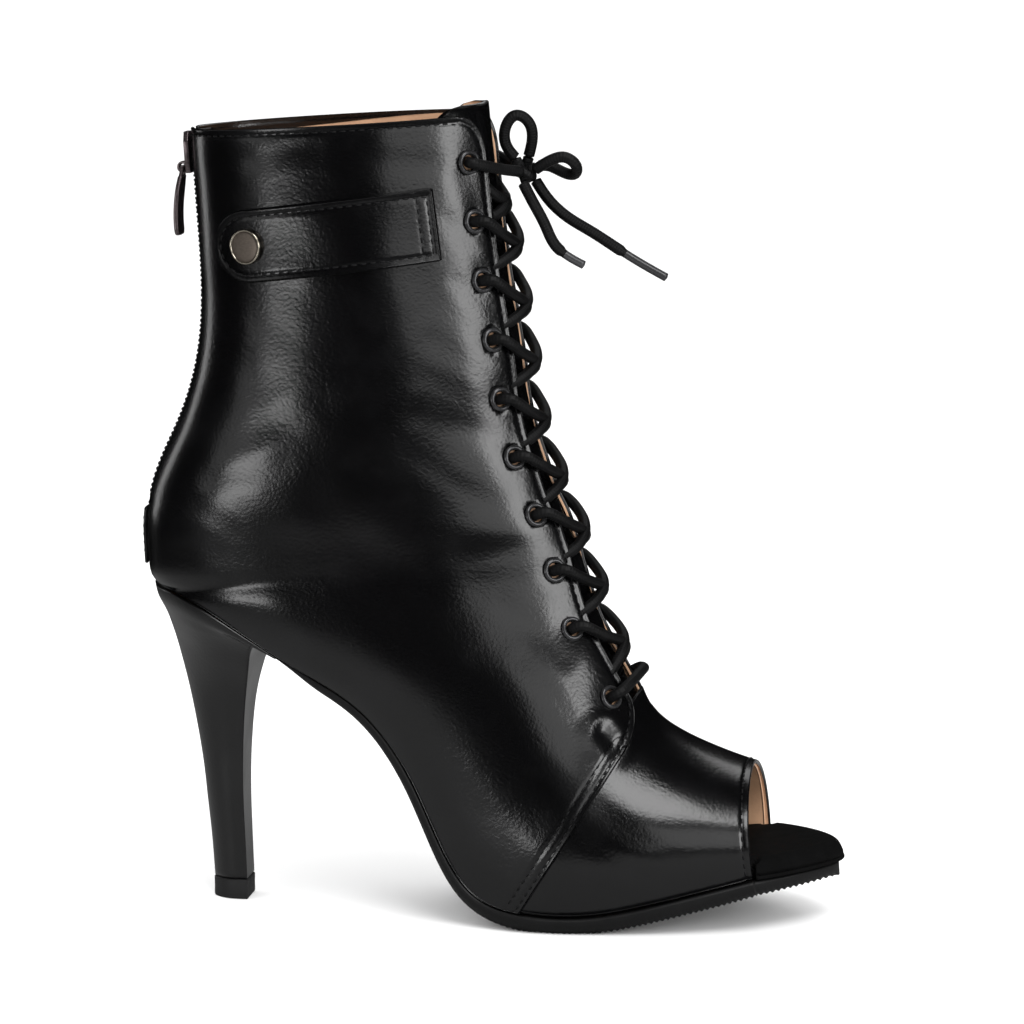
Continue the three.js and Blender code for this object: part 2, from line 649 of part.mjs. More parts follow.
// Side strap: round behind under the snap, square in front where it is sewn down
const strapPoint = (along, up) =>
  new THREE.Vector2(along * LAST_LENGTH, HEEL_HEIGHT + up * SHAFT_HEIGHT);
const strapRear = strapPoint(STRAP_REAR.along, STRAP_REAR.up);
const strapFront = strapPoint(STRAP_FRONT.along, STRAP_FRONT.up);
const strapWay = strapFront.clone().sub(strapRear).normalize();
const strapLength = strapFront.distanceTo(strapRear);

function strapSkin(along, across, out) {
  const spot = outerSide(
    strapRear.x + along * strapWay.x - across * strapWay.y,
    strapRear.y + along * strapWay.y + across * strapWay.x,
  );
  return skin(spot.place, spot.angle, out);
}
const strapEnd = STRAP_WIDTH / 2;
const strapRows = [0, 0.04, 0.15, 0.35, 0.65, 1].map((share) => share * strapEnd)
  .concat(spread(strapEnd, strapLength, 6).slice(1));
const strapGrid = (out) => strapRows.map((along) => {
  const back = Math.max(0, 1 - along / strapEnd);
  const half = strapEnd * Math.sqrt(1 - back * back);
  return spread(-half, half, 5).map((across) => strapSkin(along, across, out));
});
addPiece('strap', shell(strapGrid(FIT + STRAP_THICKNESS), strapGrid(FIT)), LEATHER);

const snapOut = 2 * FIT + STRAP_THICKNESS;
const snapAlong = SNAP_ALONG * LAST_LENGTH - strapRear.x;
const snapSpot = outerSide(strapRear.x + snapAlong * strapWay.x, strapRear.y + snapAlong * strapWay.y);
const snap = turned(
  [
    [0, 0],
    [SNAP_DIAMETER / 2, 0],
    [SNAP_DIAMETER / 2, SNAP_HEIGHT * 0.6],
    [SNAP_DIAMETER * 0.45, SNAP_HEIGHT],
    [0, SNAP_HEIGHT],
  ],
  20,
);
addPiece('snap_cap', snap, BRONZE, fitting(snapSpot.place, snapSpot.angle, snapOut));

// Zip: the chain stands in the slit, and its tape lies behind the quarters
const tapeFront = -WALL - 3 * FIT;
const tapeBack = tapeFront - ZIP_TAPE_THICKNESS;
const chainColumns = [
  [-ZIP_TAPE / 2, tapeFront],
  [-ZIP_CHAIN / 2 - 0.1, tapeFront],
  [-ZIP_CHAIN / 2, ZIP_PROUD],
  [ZIP_CHAIN / 2, ZIP_PROUD],
  [ZIP_CHAIN / 2 + 0.1, tapeFront],
  [ZIP_TAPE / 2, tapeFront],
];
const chainRows = spread(COLLAR + 1, ZIP_FOOT - 2, 9);
addPiece(
  'zip_chain',
  shell(
    chainRows.map((place) => chainColumns.map(([y, out]) => skin(place, backAngle(place, -y), out))),
    chainRows.map((place) => chainColumns.map(([y]) => skin(place, backAngle(place, -y), tapeBack))),
  ),
  TAPE,
);

// The slider runs on the chain, and its bridge carries the pull tab's bar.
const sliderPlace = COLLAR + 2 + SLIDER_LENGTH / 2;
const sliderFrame = fitting(sliderPlace, Math.PI, ZIP_PROUD + FIT);
const eyeRadius = (BAR * Math.SQRT2) / 2 + BAR_PLAY / 2;
const bridgeRadius = eyeRadius + BRIDGE_METAL;
const barHeight = SLIDER_THICKNESS + eyeRadius + 0.2;
const barDown = SLIDER_LENGTH / 2 - bridgeRadius;

function sliderSolid() {
  const half = SLIDER_WIDTH / 2;
  const long = SLIDER_LENGTH / 2;
  const outline = [
    [-half * 0.72, -long],
    [half * 0.72, -long],
    [half, -long * 0.5],
    [half, long * 0.55],
    [half * 0.6, long],
    [-half * 0.6, long],
    [-half, long * 0.55],
    [-half, -long * 0.5],
  ].map(([x, y]) => new THREE.Vector2(x, y));
  const plate = { depth: SLIDER_THICKNESS, bevelEnabled: false };
  const body = new THREE.ExtrudeGeometry(new THREE.Shape(outline), plate);
  const arch = new THREE.Shape();
  arch.moveTo(-bridgeRadius, -barHeight + SLIDER_THICKNESS / 2);
  arch.lineTo(bridgeRadius, -barHeight + SLIDER_THICKNESS / 2);
  arch.absarc(0, 0, bridgeRadius, 0, Math.PI, false);
  arch.holes.push(new THREE.Path().absarc(0, 0, eyeRadius, 0, 2 * Math.PI, true));
  const strip = { depth: BRIDGE_WIDTH, bevelEnabled: false, curveSegments: 7 };
  const bridge = new THREE.ExtrudeGeometry(arch, strip);
  bridge.translate(0, 0, -BRIDGE_WIDTH / 2);
  const stand = new THREE.Matrix4().makeBasis(
    new THREE.Vector3(0, 1, 0),
    new THREE.Vector3(0, 0, 1),
    new THREE.Vector3(1, 0, 0),
  );
  bridge.applyMatrix4(stand.setPosition(0, -barDown, barHeight));
  return toSolid(body).add(toSolid(bridge));
}
addPiece('zip_slider', toGeometry(sliderSolid()), GUNMETAL, sliderFrame);

// Pull tab: a bowed plate with an eye, hung on its cross bar
function tabGrid(face) {
  const eyeHalf = BRIDGE_WIDTH / 2 + 0.4;
  const eyeEnd = bridgeRadius + BAR;
  const rows = [-BAR / 2, BAR / 2, eyeEnd, 6, 10, 14, 18, TAB_LENGTH - 1.2, TAB_LENGTH];
  return rows.map((down, i) => {
    const wide = mix(0.62, 1, smooth(down, 0, 8)) * (i === rows.length - 1 ? 0.72 : 1);
    const half = (TAB_WIDTH / 2) * wide;
    const thick = i < 2 ? BAR : TAB_THICKNESS;
    const bow = TAB_FLARE * Math.sin((Math.PI / 2) * Math.max(0, down / (TAB_LENGTH - 3)));
    return [-half, -eyeHalf, eyeHalf, half].map((x) => new THREE.Vector3(x, -down, bow + (face * thick) / 2));
  });
}
const tabEye = (i, j) => !(i === 1 && j === 1);
const barFrame = sliderFrame.clone().multiply(new THREE.Matrix4().makeTranslation(0, -barDown, barHeight));
addPiece('zip_tab', shell(tabGrid(1), tabGrid(-1), tabEye), GUNMETAL, barFrame);

// Heel tab: the small patch that covers the foot of the zip
const patchRows = spread(ZIP_FOOT + 1, SEAT - 5, 4);
const patchColumns = spread(PATCH_WIDTH / 2, -PATCH_WIDTH / 2, 4);
const patchGrid = (out) =>
  patchRows.map((place) => patchColumns.map((y) => skin(place, backAngle(place, y), out)));
addPiece('heel_tab', shell(patchGrid(FIT + PATCH_THICKNESS), patchGrid(FIT)), LEATHER);

// The sole line: height, half width and sway of the last's underside, and of the toe beyond the opening
const SEAT_X = line.backX(SEAT);
const OPENING_X = line.backX(OPENING);
const featherHalf = (place) => halfAt(place, featherAngle(place));
const TOE_HALF = featherHalf(OPENING) - 0.5;

function soleLine(x) {
  if (x <= OPENING_X) {
    const place = solve(line.backX, x, SEAT, OPENING);
    return { z: line.backZ(place), half: featherHalf(place), sway: line.sway(place) };
  }
  const toe = Math.min(1, (x - OPENING_X) / (LAST_LENGTH - OPENING_X));
  const half = TOE_HALF * (1 - 0.25 * toe) * (1 - toe ** 1.6) ** 0.62;
  return { z: line.backZ(OPENING) + TOE_RISE * toe, half, sway: line.sway(OPENING) - 3 * toe * toe };
}

// A point above (or, with a negative lift, below) the sole line, measured square to it
function solePoint(x, y, lift) {
  const slope = Math.atan2(soleLine(x + 0.5).z - soleLine(x - 0.5).z, 1);
  return new THREE.Vector3(x - Math.sin(slope) * lift, y, soleLine(x).z + Math.cos(slope) * lift);
}

const acrossShares = spread(-1, 1, 4);
const toeRows = [0.18, 0.4, 0.6, 0.78, 0.9, 0.97, 1].map((share) => mix(OPENING_X, LAST_LENGTH, share));

// Outsole: tucked in and rounded at the waist, a flat spot under the ball, and sprung at the toe
const breastX = HEEL_BREAST * LAST_LENGTH;
const waistX = WAIST_END * LAST_LENGTH;
const treadRows = spread(breastX + 2 * FIT, OPENING_X - 1, 20);
const outsoleRows = [...treadRows, OPENING_X + 1, ...toeRows];

function outsolePoint(x, share, below) {
  const row = soleLine(x);
  const edge = mix(-WAIST_TUCK, SOLE_EDGE, smooth(x, breastX, waistX));
  const half = x < OPENING_X ? row.half + edge : Math.max(0, row.half * 0.98);
  const waist = mix(WAIST_SLIM, 1, smooth(x, waistX - 10, waistX + 22));
  const toe = mix(1, TOE_SLIM, smooth(x, BALL_PAD_FULL * LAST_LENGTH, LAST_LENGTH));
  const thick = OUTSOLE * waist * toe;
  const bevel = below ? Math.min(SOLE_BEVEL, half / 2) : 0;
  const shank = smooth(x, breastX, breastX + 14) * (1 - smooth(x, waistX - 30, waistX));
  const crown = SHANK_CROWN * (1 - share * share) * shank;
  const point = solePoint(x, row.sway + share * (half - bevel), below ? -FIT - thick - crown : -2 * FIT);
  point.z = Math.max(0, point.z);
  return point;
}
const outsoleGrid = (below) =>
  outsoleRows.map((x) => acrossShares.map((share) => outsolePoint(x, -share, below)));
addPiece('outsole', shell(outsoleGrid(true), outsoleGrid(false)), RUBBER);

// Insole: inside the upper from the seat, and the open platform beyond the toe opening
const insoleStart = SEAT_X + SEAT_BACK;
const insoleRows = [
  ...[0, 0.4, 1.6, 4, 8, 14, 22, 31].map((step) => insoleStart + step),
  ...treadRows,
  OPENING_X + 1,
  ...toeRows,
];

function insolePoint(x, share, lift) {
  const margin = WALL + 2.2;
  const back = 1 - smooth(x, insoleStart, insoleStart + 30);
  const inside = soleLine(Math.max(SEAT_X, x - SEAT_BACK * back)).half - margin * (1 - back);
  const row = soleLine(x);
  const pinched = x < OPENING_X ? Math.min(inside, row.half - WALL - 2 * FIT) : row.half;
  const half = x <= insoleStart ? 0 : Math.max(0, x < OPENING_X ? pinched : row.half);
  return solePoint(x, row.sway + share * half, lift);
}
const insoleThickness = (x) => {
  const pad = smooth(x, BALL_PAD_START * LAST_LENGTH, BALL_PAD_FULL * LAST_LENGTH);
  const toe = smooth(x, OPENING_X, LAST_LENGTH);
  return (INSOLE + BALL_PAD * pad) * mix(1, 0.8, toe);
};
addPiece(
  'insole',
  shell(
    insoleRows.map((x) => acrossShares.map((share) => insolePoint(x, share, insoleThickness(x)))),
    insoleRows.map((x) => acrossShares.map((share) => insolePoint(x, share, 0))),
  ),
  SUEDE,
);

// Heel: its top follows the seat, its breast meets the sole, and it narrows to the tip
const RING_HALF = 9;
const ringShares = spread(0, 1, RING_HALF - 2);
const tipOutline = [
  ...ringShares.map((share) => ({
    along: share ** 1.4,
    half: Math.sin((Math.PI / 2) * Math.min(1, share * 1.25)),
  })),
  { along: 1, half: 0.5 },
  { along: 1, half: 0 },
];
const seatOutline = [
  ...ringShares.map((share) => {
    const along = share ** 1.8;
    return { along, half: soleLine(mix(SEAT_X, breastX, along)).half };
  }),
  { along: 1, half: soleLine(breastX).half / 2 },
  { along: 1, half: 0 },
];
const tipMiddle = TIP_CENTRE * LAST_LENGTH;
const tipX = { back: tipMiddle - TIP_LENGTH / 2, front: tipMiddle + TIP_LENGTH / 2 };
const seatSway = soleLine(breastX).sway;

// A closed ring from one half of its outline, first along the outer side and back along the inner
function ring(outline, place) {
  const outer = outline.map((row) => place(row, LATERAL));
  const inner = outline.slice(1, -1).map((row) => place(row, MEDIAL)).reverse();
  return [...outer, ...inner];
}

const seatHalf = Math.max(...seatOutline.map((row) => row.half));
const heelFoot = TOP_LIFT + FIT;
const seatRing = ring(seatOutline, ({ along, half }, side) => {
  const x = mix(SEAT_X, breastX, along);
  const row = soleLine(x);
  return new THREE.Vector3(x, row.sway + side * half, row.z - 2 * FIT);
});
const heelRings = HEEL_SECTIONS.map((section) => {
  const back = new THREE.Vector2(
    mix(SEAT_X, tipX.back, section.back),
    mix(soleLine(SEAT_X).z, heelFoot, section.backDown),
  );
  const front = new THREE.Vector2(
    mix(breastX, tipX.front, section.front),
    mix(soleLine(breastX).z, heelFoot, section.frontDown),
  );
  const half = mix(seatHalf, TIP_WIDTH / 2, section.slim);
  const outline = seatOutline.map((row, i) => ({
    along: mix(row.along, tipOutline[i].along, section.round),
    half: half * mix(row.half / seatHalf, tipOutline[i].half, section.round),
  }));
  return ring(outline, (row, side) => new THREE.Vector3(
    mix(back.x, front.x, row.along),
    mix(seatSway, 0, section.slim) + side * row.half,
    mix(back.y, front.y, row.along),
  ));
});
addPiece('heel', loft([seatRing, ...heelRings]), LEATHER);

const liftRing = (z) => ring(tipOutline, (row, side) => new THREE.Vector3(
  mix(tipX.back, tipX.front, row.along),
  (side * row.half * TIP_WIDTH) / 2,
  z,
));
addPiece('top_lift', loft([liftRing(TOP_LIFT), liftRing(0)]), RUBBER);

// The origin is at the bottom centre of the boot without the lace's free ends.
const box = new THREE.Box3();
boot.updateMatrixWorld(true);
for (const mesh of boot.children) {
  if (mesh.name !== 'lace_knot' && !(mesh.name in freeEnds)) box.expandByObject(mesh, true);
}
const centre = box.getCenter(new THREE.Vector3());
boot.position.set(-centre.x, -centre.y, -box.min.z);
boot.updateMatrixWorld(true);

export default boot;
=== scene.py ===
"""Peep toe ankle boot, right shoe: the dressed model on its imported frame, in metres.

The toe points along +X, the outer side of the foot is at -Y, and the sole stands on Z = 0.
"""

import json
import logging
import math
from collections.abc import Callable, Sequence
from dataclasses import dataclass, field
from enum import Enum

import bmesh
import bpy
import numpy as np
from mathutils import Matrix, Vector

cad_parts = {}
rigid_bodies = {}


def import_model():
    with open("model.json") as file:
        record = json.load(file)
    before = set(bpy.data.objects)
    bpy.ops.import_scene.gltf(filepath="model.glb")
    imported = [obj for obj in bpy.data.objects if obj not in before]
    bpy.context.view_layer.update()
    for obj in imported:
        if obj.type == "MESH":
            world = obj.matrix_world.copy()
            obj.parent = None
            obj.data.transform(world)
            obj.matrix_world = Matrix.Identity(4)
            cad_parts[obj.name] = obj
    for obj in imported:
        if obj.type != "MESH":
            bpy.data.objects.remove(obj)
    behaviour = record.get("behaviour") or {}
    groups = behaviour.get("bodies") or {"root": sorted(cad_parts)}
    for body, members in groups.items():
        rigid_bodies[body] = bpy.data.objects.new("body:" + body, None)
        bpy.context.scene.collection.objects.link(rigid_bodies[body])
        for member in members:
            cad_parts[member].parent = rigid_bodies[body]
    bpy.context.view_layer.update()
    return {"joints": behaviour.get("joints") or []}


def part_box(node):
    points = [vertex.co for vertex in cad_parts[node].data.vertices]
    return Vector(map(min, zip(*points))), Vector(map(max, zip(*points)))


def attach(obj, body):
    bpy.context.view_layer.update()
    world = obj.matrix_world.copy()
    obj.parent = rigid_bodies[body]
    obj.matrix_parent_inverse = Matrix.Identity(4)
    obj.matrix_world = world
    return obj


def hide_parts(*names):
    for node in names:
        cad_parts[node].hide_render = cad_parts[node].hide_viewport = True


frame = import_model()

LOG = logging.getLogger("boot")
Array = np.ndarray
Piece = bpy.types.Object
Socket = bpy.types.NodeSocket
Outputs = bpy.types.NodeOutputs
MM = 0.001
HALVINGS = 40
BLOCKS = 60
MERGE = 2e-6
GROOVE_DEPTH, GROOVE_WIDTH = 0.2, 0.6
RIM_RISE, RIM_WIDTH = 0.14, 0.9


class Side(Enum):
    """The two sides of the foot, by the sign of their Y."""

    OUTER = -1
    INNER = 1


class Body(Enum):
    """The frame's bodies."""

    BOOT = "boot"
    TAB = "zip_tab"


# ---------------------------------------------------------------- numbers


def mix(low: Array | float, high: Array | float, share: Array | float) -> Array | float:
    """Goes from low to high in a straight line as share goes from 0 to 1."""
    return low + (high - low) * share


def smooth(value: Array | float, start: float, end: float) -> Array:
    """Rises from 0 at start to 1 at end as 3 t^2 - 2 t^3."""
    t = np.clip((np.asarray(value, float) - start) / (end - start), 0, 1)
    return t * t * (3 - 2 * t)


def unit(vectors: Array) -> Array:
    """Returns the vectors at length 1."""
    return vectors / np.maximum(np.linalg.norm(vectors, axis=-1, keepdims=True), 1e-12)


def spread(start: float, end: float, count: int, ends: float = 0.0) -> Array:
    """Places count numbers from start to end, closer together near both as ends goes from 0 to 1.

    The even share t is mixed with (1 - cos(pi t)) / 2.

    Args:
        start: The first number.
        end: The last number.
        count: How many numbers.
        ends: How much closer together they lie near both ends.

    Returns:
        The numbers.
    """
    t = np.linspace(0, 1, count)
    return mix(start, end, mix(t, (1 - np.cos(np.pi * t)) / 2, ends))


def matched(*values: Array | float) -> tuple[Array, ...]:
    """Brings values to arrays of one shape."""
    return np.broadcast_arrays(*(np.asarray(value, float) for value in values))


def rounding(share: Array) -> Array:
    """Falls away from a line like a circle, as 1 - sqrt(1 - t^2)."""
    return 1 - np.sqrt(1 - np.clip(share, 0, 1) ** 2)


def bell(distance: Array, width: float) -> Array:
    """Returns e^(-(d / w)^2), which is 1 at no distance and nearly 0 from two widths on."""
    return np.exp(-((distance / width) ** 2))


def run_along(line: Array) -> Array:
    """Returns how far along a line each of its points lies."""
    return np.concatenate([[0], np.cumsum(np.linalg.norm(np.diff(line, axis=0), axis=1))])


def bisect(grows: Callable[[Array], Array], value: Array, low: Array, high: Array) -> Array:
    """Finds where a growing function reaches a value, by halving the range HALVINGS times.

    Args:
        grows: The function, on whole arrays.
        value: The values to reach.
        low: The lowest arguments.
        high: The highest arguments.

    Returns:
        The arguments.
    """
    low = np.zeros_like(np.asarray(value, float)) + low
    high = np.zeros_like(low) + high
    for _ in range(HALVINGS):
        middle = (low + high) / 2
        short = grows(middle) < value
        low = np.where(short, middle, low)
        high = np.where(short, high, middle)
    return (low + high) / 2


class Spline:
    """A natural cubic spline through columns of values, straight beyond its ends."""

    def __init__(self, at: Array, values: Array) -> None:
        """Solves the second derivatives that join the cubic pieces smoothly.

        Args:
            at: The arguments, growing.
            values: One row of values for each argument.
        """
        self.at = np.asarray(at, float)
        self.values = np.asarray(values, float).reshape(len(self.at), -1)
        step = np.diff(self.at)
        rise = np.diff(self.values, axis=0) / step[:, None]
        matrix = np.eye(len(self.at))
        inner = np.arange(1, len(self.at) - 1)
        matrix[inner, inner - 1] = step[:-1]
        matrix[inner, inner] = 2 * (step[:-1] + step[1:])
        matrix[inner, inner + 1] = step[1:]
        wanted = np.zeros_like(self.values)
        wanted[1:-1] = 6 * np.diff(rise, axis=0)
        self.bend = np.linalg.solve(matrix, wanted)
        self.first = rise[0] - step[0] * self.bend[1] / 6
        self.last = rise[-1] + step[-1] * self.bend[-2] / 6

    def __call__(self, where: Array) -> Array:
        """Returns the values, with the columns last."""
        where = np.asarray(where, float)
        inside = np.clip(where, self.at[0], self.at[-1])
        i = np.clip(np.searchsorted(self.at, inside) - 1, 0, len(self.at) - 2)
        width = self.at[i + 1] - self.at[i]
        left = ((self.at[i + 1] - inside) / width)[..., None]
        right = 1 - left
        curve = (left**3 - left) * self.bend[i] + (right**3 - right) * self.bend[i + 1]
        value = left * self.values[i] + right * self.values[i + 1] + curve * (width**2)[..., None] / 6
        beyond = (where - inside)[..., None]
        return value + np.where(beyond < 0, self.first, self.last) * beyond


# ---------------------------------------------------------------- the last


@dataclass
class Last:
    """The form of the foot that the boot is built on, in millimetres.

    Each section is an oval on a chord from a back or bottom point to a front or top point:
    back x, front x, rise of its floor, back height, front height, half width, how much of the oval
    is cut off below, how much fuller it is behind and slimmer before its middle, and sway.
    """

    length: float = 221.2
    heel_height: float = 102.6
    shaft_height: float = 148.4
    ball_width: float = 84.0
    sole_top: float = 5.9
    heel_axis: float = 0.118
    turn_step: float = 0.02
    wall: float = 1.8
    fit: float = 0.3
    facing_gap: float = 24.0
    collar_round: float = 7.0
    collar_corner: float = 12.0
    throat_round: float = 13.0
    zip_end: float = 23.4
    zip_gap: float = 7.0
    first_eyelet: float = 14.6
    last_eyelet: float = 12.5
    eyelet_inset: float = 7.0
    eyelet_pairs: int = 10
    sections: tuple[tuple[float, ...], ...] = (
        (0.071, 0.514, 1, 0.958, 1, 0.363, 0, 0.12, 0.09, 0),
        (0.079, 0.53, 1, 0.774, 0.778, 0.369, 0, 0.14, 0.14, 0),
        (0.084, 0.545, 1, 0.623, 0.626, 0.373, 0, 0.17, 0.16, 0),
        (0.076, 0.56, 1, 0.474, 0.485, 0.379, 0, 0.22, 0.13, 0),
        (0.046, 0.575, 1, 0.333, 0.353, 0.385, 0, 0.26, 0.14, 0),
        (0.015, 0.592, 1, 0.228, 0.269, 0.385, 0, 0.29, 0.07, 0),
        (0.001, 0.609, 1, 0.124, 0.195, 0.379, 0, 0.34, 0, 0),
        (0.002, 0.622, 1, 0.057, 0.151, 0.371, 0, 0.34, -0.08, 0),
        (0.012, 0.632, 1, 0, 0.116, 0.367, 0, 0.34, -0.05, 0),
        (0.042, 0.639, 0.986, 0, 0.1, 0.364, 0.035, 0.32, -0.03, -0.002),
        (0.087, 0.648, 0.958, 0, 0.078, 0.362, 0.11, 0.26, 0, -0.006),
        (0.159, 0.662, 0.866, 0, 0.074, 0.361, 0.18, 0.18, 0.05, -0.015),
        (0.24, 0.675, 0.753, 0, 0.098, 0.361, 0.19, 0.12, 0.12, -0.025),
        (0.326, 0.688, 0.625, 0, 0.135, 0.369, 0.17, 0.09, 0.16, -0.03),
        (0.408, 0.702, 0.375, 0, 0.256, 0.393, 0.2, 0.06, 0.2, -0.028),
        (0.489, 0.715, 0.057, 0, 0.418, 0.446, 0.26, 0.03, 0.22, -0.02),
        (0.559, 0.729, 0.001, 0, 0.404, 0.488, 0.36, 0, 0.15, -0.01),
        (0.661, 0.769, -0.001, 0, 0.353, 0.5, 0.37, 0, 0.05, 0),
        (0.765, 0.815, 0.049, 0, 0.287, 0.47, 0.4, 0, 0, 0.01),
        (0.884, 0.871, 0.116, 0, 0.213, 0.393, 0.42, 0, 0, 0.016),
    )
    seat_row: int = 8
    seam_row: int = 16

    def __post_init__(self) -> None:
        """Turns the sections into splines over a place: the way down the boot from the collar."""
        rows = np.array(self.sections)
        floor = self.sole_top + rows[:, 2] * (self.heel_height - self.sole_top)
        back = np.stack([rows[:, 0] * self.length, floor + rows[:, 3] * self.shaft_height], 1)
        front = np.stack([rows[:, 1] * self.length, floor + rows[:, 4] * self.shaft_height], 1)
        places = (run_along(back) + run_along(front)) / 2
        half, sway = rows[:, 5] * self.ball_width, rows[:, 9] * self.ball_width
        self.columns = Spline(places, np.column_stack([back, front, half, sway, rows[:, 6:9]]))
        self.seat, self.seam, self.opening = places[[self.seat_row, self.seam_row, -1]]
        foot = np.array([-(self.heel_height + self.zip_end)])
        self.zip_foot = float(bisect(lambda p: -self.columns(p)[..., 1], foot, 0, self.seat)[0])
        throat = np.linspace(-20, self.seam, 1200)
        line = self.point(throat, 0 * throat)
        run = run_along(line)
        run -= np.interp(0, throat, run)
        self.throat_run, self.throat_place = run, throat
        self.pitch = (run[-1] - self.first_eyelet - self.last_eyelet) / (self.eyelet_pairs - 1)
        low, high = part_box("top_lift")
        middle = (low + high) / 2 / MM
        self.shift = np.array([middle.x - self.heel_axis * self.length, middle.y, 0])

    def place_down(self, run: Array | float) -> Array:
        """Returns the place of a distance down the throat's front line from the collar."""
        return np.interp(run, self.throat_run, self.throat_place)

    def under(self, place: Array, columns: Array) -> Array:
        """Returns how much of the oval is cut off below: nothing above the seat."""
        return np.where(place <= self.seat, 0, np.maximum(0, columns[..., 6]))

    def point(self, place: Array, angle: Array) -> Array:
        """Works out points of the surface.

        The share of the chord is ((1 + u)(1 + cos a)) / 2 - u, where u is cut off below, and the
        width is half sin a, made fuller behind and slimmer before the middle by squares.

        Args:
            place: The way down the boot.
            angle: The turn round the oval, 0 at the front and positive to the inner side.

        Returns:
            Points, with x, y and z last.
        """
        place, angle = matched(place, angle)
        row = self.columns(place)
        under = self.under(place, row)
        up = (1 + under) * (1 + np.cos(angle)) / 2 - under
        behind = np.maximum(0, 1 - 2 * up) ** 2
        before = np.maximum(0, 2 * up - 1) ** 2
        full = 1 + row[..., 7] * behind - row[..., 8] * before
        x = mix(row[..., 0], row[..., 2], up)
        z = mix(row[..., 1], row[..., 3], up)
        return np.stack([x, row[..., 5] + row[..., 4] * np.sin(angle) * full, z], -1)

    def slopes(self, place: Array, angle: Array) -> tuple[Array, Array]:
        """Returns how the surface goes on over 1 mm of place, and over one turn_step of angle."""
        down = self.point(place + 0.5, angle) - self.point(place - 0.5, angle)
        half = self.turn_step / 2
        return down, self.point(place, angle + half) - self.point(place, angle - half)

    def frame(self, place: Array, angle: Array) -> tuple[Array, Array, Array]:
        """Returns the side, upward and outward directions on the surface."""
        down, turn = self.slopes(place, angle)
        normal = unit(np.cross(down, turn))
        side = unit(np.cross(-down, normal))
        return side, np.cross(normal, side), normal

    def skin(self, place: Array, angle: Array, out: Array | float) -> Array:
        """Returns points that lie a distance outside the surface, along its normal."""
        place, angle, out = matched(place, angle, out)
        return self.point(place, angle) + self.frame(place, angle)[2] * out[..., None]

    def feather(self, place: Array) -> Array:
        """Returns the angle at which a section is cut off below."""
        under = self.under(place, self.columns(place))
        return np.arccos(2 * under / (1 + under) - 1)

    def width(self, place: Array, angle: Array) -> Array:
        """Returns the distance from a section's middle line."""
        return self.point(place, angle)[..., 1] - self.columns(place)[..., 5]

    def front_angle(self, place: Array, y: Array) -> Array:
        """Returns the angle on the front half whose width is y."""
        place, y = matched(place, y)
        return np.sign(y) * bisect(lambda a: self.width(place, a), np.abs(y), 0, np.pi / 2)

    def back_angle(self, place: Array, y: Array) -> Array:
        """Returns the angle on the back half whose width is y."""
        place, y = matched(place, y)
        turn = bisect(lambda a: self.width(place, np.pi - a), np.abs(y), 0, np.pi / 2)
        return np.pi - np.sign(y) * turn

    def outer_side(self, x: Array, z: Array) -> tuple[Array, Array]:
        """Returns the place and angle of points of the outer side, seen from that side."""
        spot = np.stack([x, z], -1)

        def arms(place: Array) -> tuple[Array, Array]:
            """Returns a section's chord, and the way from its back to the point."""
            row = self.columns(place)
            return row[..., 2:4] - row[..., 0:2], spot - row[..., 0:2]

        def beyond(place: Array) -> Array:
            """Grows from negative to positive as a chord sweeps down past the point."""
            chord, arm = arms(place)
            return chord[..., 0] * arm[..., 1] - chord[..., 1] * arm[..., 0]

        place = bisect(beyond, np.zeros(spot.shape[:-1]), -40, self.seat)
        chord, arm = arms(place)
        up = np.sum(chord * arm, -1) / np.sum(chord * chord, -1)
        return place, -np.arccos(np.clip(2 * up - 1, -1, 1))

    def facing_edge(self, place: Array) -> Array:
        """Returns half the gap between the facings: straight, and rounded at both ends by circles."""
        top = self.collar_round * rounding(1 - place / self.collar_corner)
        bottom = self.throat_round * rounding(1 - (self.seam - place) / self.throat_round)
        return self.facing_gap / 2 + top + bottom

    def eyelets(self) -> tuple[Array, Array]:
        """Returns the eyelets' places, and their angles on the inner side."""
        place = self.place_down(self.first_eyelet + np.arange(self.eyelet_pairs) * self.pitch)
        edge = self.front_angle(place, self.facing_gap / 2)
        corner = self.point(place, edge)

        def chord(angle: Array) -> Array:
            """Measures straight from the facing's edge."""
            return np.linalg.norm(self.point(place, angle) - corner, axis=-1)

        return place, bisect(chord, np.full(place.shape, self.eyelet_inset), edge, np.pi / 2)

    def settle(self, points: Array) -> Array:
        """Moves points from the last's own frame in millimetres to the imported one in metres."""
        return (points + self.shift) * MM


# ---------------------------------------------------------------- meshes


@dataclass
class Surface:
    """Points, faces and what goes with them, before they become an object.

    Faces are quads or triangles. part is each face's finish, and edge is 1 where a point lies on
    a rim and fades to 0 away from it.
    """

    points: Array
    faces: list[list[int]]
    part: Array
    uv: Array | None = None
    edge: Array | None = None


def quads(index: Array) -> Array:
    """Returns the quads of a grid of point numbers, row by row."""
    return np.stack([index[:-1, :-1], index[1:, :-1], index[1:, 1:], index[:-1, 1:]], -1).reshape(-1, 4)


def grid(points: Array, uv: Array | None = None) -> Surface:
    """Turns a grid of points into a surface of quads."""
    faces = quads(np.arange(points.shape[0] * points.shape[1]).reshape(points.shape[:2]))
    flat = None if uv is None else uv.reshape(-1, 2)
    return Surface(points.reshape(-1, 3), faces.tolist(), np.zeros(len(faces), int), flat)


def beads(points: Array) -> Surface:
    """Turns many small grids of one size into one surface, with the grids along the first axis."""
    count, rows, cols = points.shape[:3]
    cell = quads(np.arange(rows * cols).reshape(rows, cols))
    faces = (cell[None] + (np.arange(count) * rows * cols)[:, None, None]).reshape(-1, 4)
    return Surface(points.reshape(-1, 3), faces.tolist(), np.zeros(len(faces), int))


